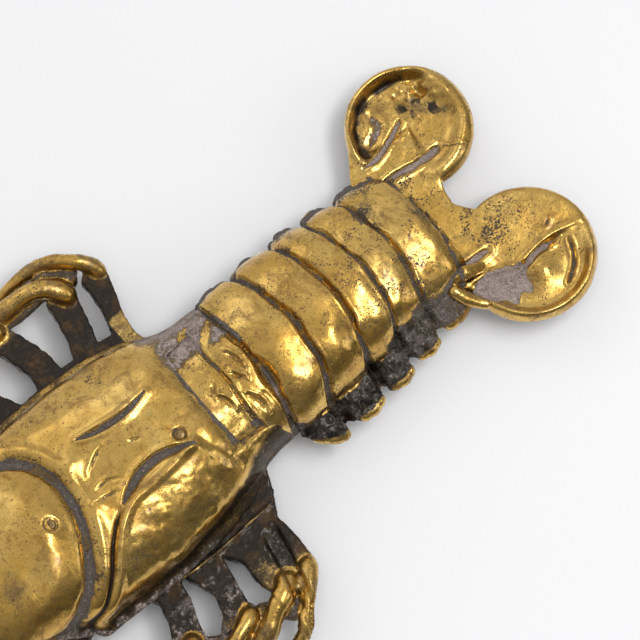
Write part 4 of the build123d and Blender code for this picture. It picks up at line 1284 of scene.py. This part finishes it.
def head():
    """Head block in front of the nose: rostrum, brow ridges, antenna roots and mouth parts."""
    parts = [tube([(x, 0, z) for x, _, z in HEAD_SECTIONS], [w for _, w, _ in HEAD_SECTIONS], 40, 0.56)]
    rostrum = [(52.0, 0, 20.4), (60.0, 0, 20.8), (70.0, 0, 20.2), (79.5, 0, 19.2)]
    parts.append(tube(rostrum, [2.6, 2.2, 1.7, 0.8], 20, 0.8))
    parts.append(prism([(52.5, -7.8), (61.5, -7.8), (61.5, 7.8), (52.5, 7.8)], ON_BELLY, 14.0))
    for side in (1, -1):
        for path, radii, sides in HEAD_BARS:
            parts.append(tube([(x, side * y, z) for x, y, z in path], radii, sides))
        parts.append(ball((62.0, side * 6.4, 18.6), (2.6, 2.0, 1.9), 10, 16))
    obj = fused("head", parts, 0.36, 4)
    p, normal = read_points(obj.data)
    lift = lumps(p, 0.9)
    grime = np.zeros(len(p))
    for line in HEAD_GROOVES:
        for side in (1, -1):
            d = near_curve(p[:, 0], p[:, 1], [(x, side * y) for x, y in line], 20)[0]
            groove = ridge_profile(d, 0.55) * smooth(0.0, 0.5, normal[:, 2])
            lift -= 0.5 * groove
            grime = np.maximum(grime, smooth(0.35, 0.7, groove))
    p += normal * lift[:, None]
    # hollow rear face that the nose turns in
    p[:, 0] = np.maximum(p[:, 0], HEAD_REAR)
    dx, dz = p[:, 0] - HINGE[0], p[:, 2] - HINGE[2]
    reach = np.maximum(np.hypot(dx, dz), 1e-6)
    clear = np.interp(np.degrees(np.arctan2(dz, dx)), *HEAD_CLEAR)
    inside = reach < clear
    p[:, 0] = np.where(inside, HINGE[0] + dx * (clear / reach), p[:, 0])
    p[:, 2] = np.where(inside, HINGE[2] + dz * (clear / reach), p[:, 2])
    p[:, 2] = np.clip(p[:, 2], HEAD_LOW, None)
    write_points(obj.data, p)
    grime = np.maximum(grime, 0.6 * smooth(0.0, -0.6, normal[:, 2]))
    soot = 0.7 * inside * smooth(0.9, 0.4, normal[:, 2])
    paint(obj.data, grime=grime, soot=soot, pits=np.full(len(p), 0.35))
    return obj


EYE_R, EYE_RING_R = 2.45, 2.15


def eye(side):
    """One eye: a polished ball in a rolled ring on a short stalk."""
    name = "left_eye" if side > 0 else "right_eye"
    low, high = box_mm(name)
    centre = np.array([(low[0] + high[0]) / 2, side * 10.4, high[2] - 2.6])
    root = np.array([centre[0], side * 6.6, centre[2] - 1.8])
    stalk = [root, (root + centre) / 2, centre - (centre - root) * 0.25]
    parts = [ball(centre, (EYE_R, EYE_R, EYE_R), 18, 28), tube(stalk, [1.5, 1.25, 1.6], 18)]
    axis = (centre - root) / np.linalg.norm(centre - root)
    ring_centre = centre - axis * 1.25
    across = np.cross(axis, (1.0, 0, 0))
    across /= np.linalg.norm(across)
    over = np.cross(axis, across)
    ring = [ring_centre + EYE_RING_R * (c * across + s * over) for c, s in turns(24)]
    parts.append(tube(ring + ring[:1], [0.42] * 25, 10))
    obj = fused(name + "ball", parts, 0.2, 3)
    p, _ = read_points(obj.data)
    outside = np.linalg.norm(p - centre, axis=1) > 2.2
    grime = 0.9 * smooth(0.7, 0.2, np.abs((p - ring_centre) @ axis + 0.55)) * outside
    paint(obj.data, grime=grime, pits=np.full(len(p), 0.1))
    return obj


FEELER_ROUTE = [(66.0, 3.5, 14.5), (78.0, 8.0, 18.0), (94.0, 10.5, 21.0), (112.0, 9.5, 18.0)]
FEELER_RINGS, FEELER_SIDES = 34, 20


def antenna(side):
    """One antenna, with its rings cut in."""
    path = spline([(x, side * y, z) for x, y, z in FEELER_ROUTE], 240)
    s = np.linspace(0, 1, len(path))
    wave = np.abs(np.sin(s * math.pi * FEELER_RINGS))
    radii = np.interp(s, [0, 0.3, 0.7, 1.0], [1.25, 1.15, 0.95, 0.62]) * (1 - 0.12 * wave**8)
    # tube adds three rings of points at each end
    grime = np.repeat(np.concatenate([[0] * 3, 0.75 * wave**6, [0] * 3]), FEELER_SIDES)
    name = "left_feeler" if side > 0 else "right_feeler"
    return new_object(name, *tube(path, radii, FEELER_SIDES), grime=grime, pits=np.full(len(grime), 0.2))


# ---------------------------------------------------------------- put together

polished = cast_brass("polished_cast_brass")
antique = cast_brass("antique_cast_brass", 0.85)
raw = raw_brass("raw_cast_brass")
jaw_metal = worked_steel("jaw_steel_milled")
pin_metal = worked_steel("pin_steel_turned", 1.1)


def finish_with(mesh, material):
    mesh.materials.clear()
    mesh.materials.append(material)


def place(obj, material, body, slot, node):
    """Gives a piece its material and its body, and hides the CAD node that it stands for. The slot is not
    used.
    """
    finish_with(obj.data, material)
    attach(obj, body)
    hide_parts(node)


place(carapace(), polished, "back", "polished_brass", "back_casting")
place(abdomen(), polished, "back", "polished_brass", "back_casting")
place(tail_fan(), polished, "back", "polished_brass", "back_casting")
place(seat_and_knuckle(), raw, "back", "polished_brass", "back_casting")
place(rivet_plugs(), polished, "back", "rivet_brass", "upper_jaw_rivets")
place(head(), antique, "belly", "polished_brass", "head_casting")
for word, side in (("left", 1), ("right", -1)):
    place(legs(side), antique, "belly", "polished_brass", word + "_leg_casting")
    place(claw(side), antique, "belly", "polished_brass", word + "_claw_casting")
    place(eye(side), polished, "belly", "polished_brass", word + "_eye")
    place(antenna(side), antique, "belly", "wire_brass", word + "_antenna")

CAD_FINISH = {"upper_jaw": jaw_metal, "lower_jaw": jaw_metal, "hinge_pin": pin_metal}
for name in (
    "belly_casting", "hinge_washers", "lower_jaw_rivets", "head_rivet", "left_leg_rivets", "right_leg_rivets",
    "left_claw_rivet", "right_claw_rivet",
):
    CAD_FINISH[name] = raw
for name, material in CAD_FINISH.items():
    finish_with(frame["nodes"][name].data, material)

# ---------------------------------------------------------------- floor, lights and camera

bpy.ops.mesh.primitive_plane_add(size=3.0, location=(0, 0, -0.0002))
floor = bpy.context.object
floor.name = "floor"
paper = Nodes("paper")
shade = paper.mix(paper.noise(8, 2), (0.86, 0.86, 0.865), (0.89, 0.89, 0.895))
paper.surface(Base_Color=shade, Roughness=0.9, Specular_IOR_Level=0.1)
floor.data.materials.append(paper.material)

scene = bpy.context.scene
scene.view_settings.view_transform = "Standard"
scene.view_settings.look = "None"

# the sky that reflections see brightens towards one side, and everything else is lit evenly
SKY_TOWARDS = Vector((0.05, -0.78, 0.62)).normalized()
SKY = [(0.0, 0.06), (0.30, 0.14), (0.55, 0.30), (0.80, 0.64), (1.0, 0.78)]
EVEN_COLOUR, EVEN_STRENGTH = (1.0, 1.0, 1.01, 1.0), 0.46

world = bpy.data.worlds.new("studio")
scene.world = world
world.use_nodes = True
world.node_tree.nodes.clear()
add, join = world.node_tree.nodes.new, world.node_tree.links.new
out, background, even = add("ShaderNodeOutputWorld"), add("ShaderNodeBackground"), add("ShaderNodeBackground")
coords, facing, share = add("ShaderNodeTexCoord"), add("ShaderNodeVectorMath"), add("ShaderNodeMapRange")
sky, rays, chosen = add("ShaderNodeValToRGB"), add("ShaderNodeLightPath"), add("ShaderNodeMixShader")
facing.operation = "DOT_PRODUCT"
facing.inputs[1].default_value = SKY_TOWARDS
share.inputs["From Min"].default_value = -1.0
background.inputs["Strength"].default_value = 1.0
even.inputs["Color"].default_value = EVEN_COLOUR
even.inputs["Strength"].default_value = EVEN_STRENGTH
join(coords.outputs["Generated"], facing.inputs[0])
join(facing.outputs["Value"], share.inputs["Value"])
join(share.outputs["Result"], sky.inputs[0])
join(sky.outputs[0], background.inputs["Color"])
join(rays.outputs["Is Glossy Ray"], chosen.inputs[0])
join(even.outputs[0], chosen.inputs[1])
join(background.outputs[0], chosen.inputs[2])
join(chosen.outputs[0], out.inputs[0])
for position, _ in SKY[1:-1]:
    sky.color_ramp.elements.new(position)
for element, (_, level) in zip(sky.color_ramp.elements, SKY):
    element.color = (level, level, level, 1)

# the photo's viewing direction: azimuth 139.5 and elevation 75 degrees
CAMERA_RIGHT = Vector((-0.7604, 0.6494, 0.0))
CAMERA_UP = Vector((-0.6273, -0.7345, 0.2588))
CAMERA_BACK = CAMERA_RIGHT.cross(CAMERA_UP)
AIM = Vector((-55.6, 4.6, 25.5)) * MM
LENS, SENSOR, WIDTH = 200.0, 36.0, 140.8 * MM


# name, direction in the camera's own terms (right, up, back), distance, size and power
LAMPS = (
    ("key", (0.34, 0.24, 0.91), 0.9, (0.46, 0.18), 2.8),
    ("overhead", (0.05, 0.10, 1.0), 1.2, (0.6, 0.6), 3.8),
    ("window", (-0.55, 0.70, 0.60), 1.3, (0.9, 0.6), 1.1),
    ("side", (0.85, 0.1, 0.5), 1.1, (0.3, 0.4), 0.8),
)
for name, (right, up, back), distance, size, power in LAMPS:
    lamp = bpy.data.lights.new(name, "AREA")
    lamp.shape = "RECTANGLE"
    lamp.size, lamp.size_y = size
    lamp.energy = power
    softbox = add_object(name, lamp)
    away = (CAMERA_RIGHT * right + CAMERA_UP * up + CAMERA_BACK * back).normalized() * distance
    softbox.location = AIM + away
    softbox.rotation_euler = (-away).to_track_quat("-Z", "Y").to_euler()
    softbox.visible_camera = False
    softbox.visible_glossy = name != "overhead"

camera = bpy.data.cameras.new("camera")
camera.lens = LENS
camera.sensor_width = SENSOR
camera.clip_end = 10
eye_point = add_object("camera", camera)
rotation = Matrix((CAMERA_RIGHT, CAMERA_UP, CAMERA_BACK)).transposed().to_4x4()
eye_point.matrix_world = Matrix.Translation(AIM + CAMERA_BACK * (WIDTH * LENS / SENSOR)) @ rotation
scene.camera = eye_point
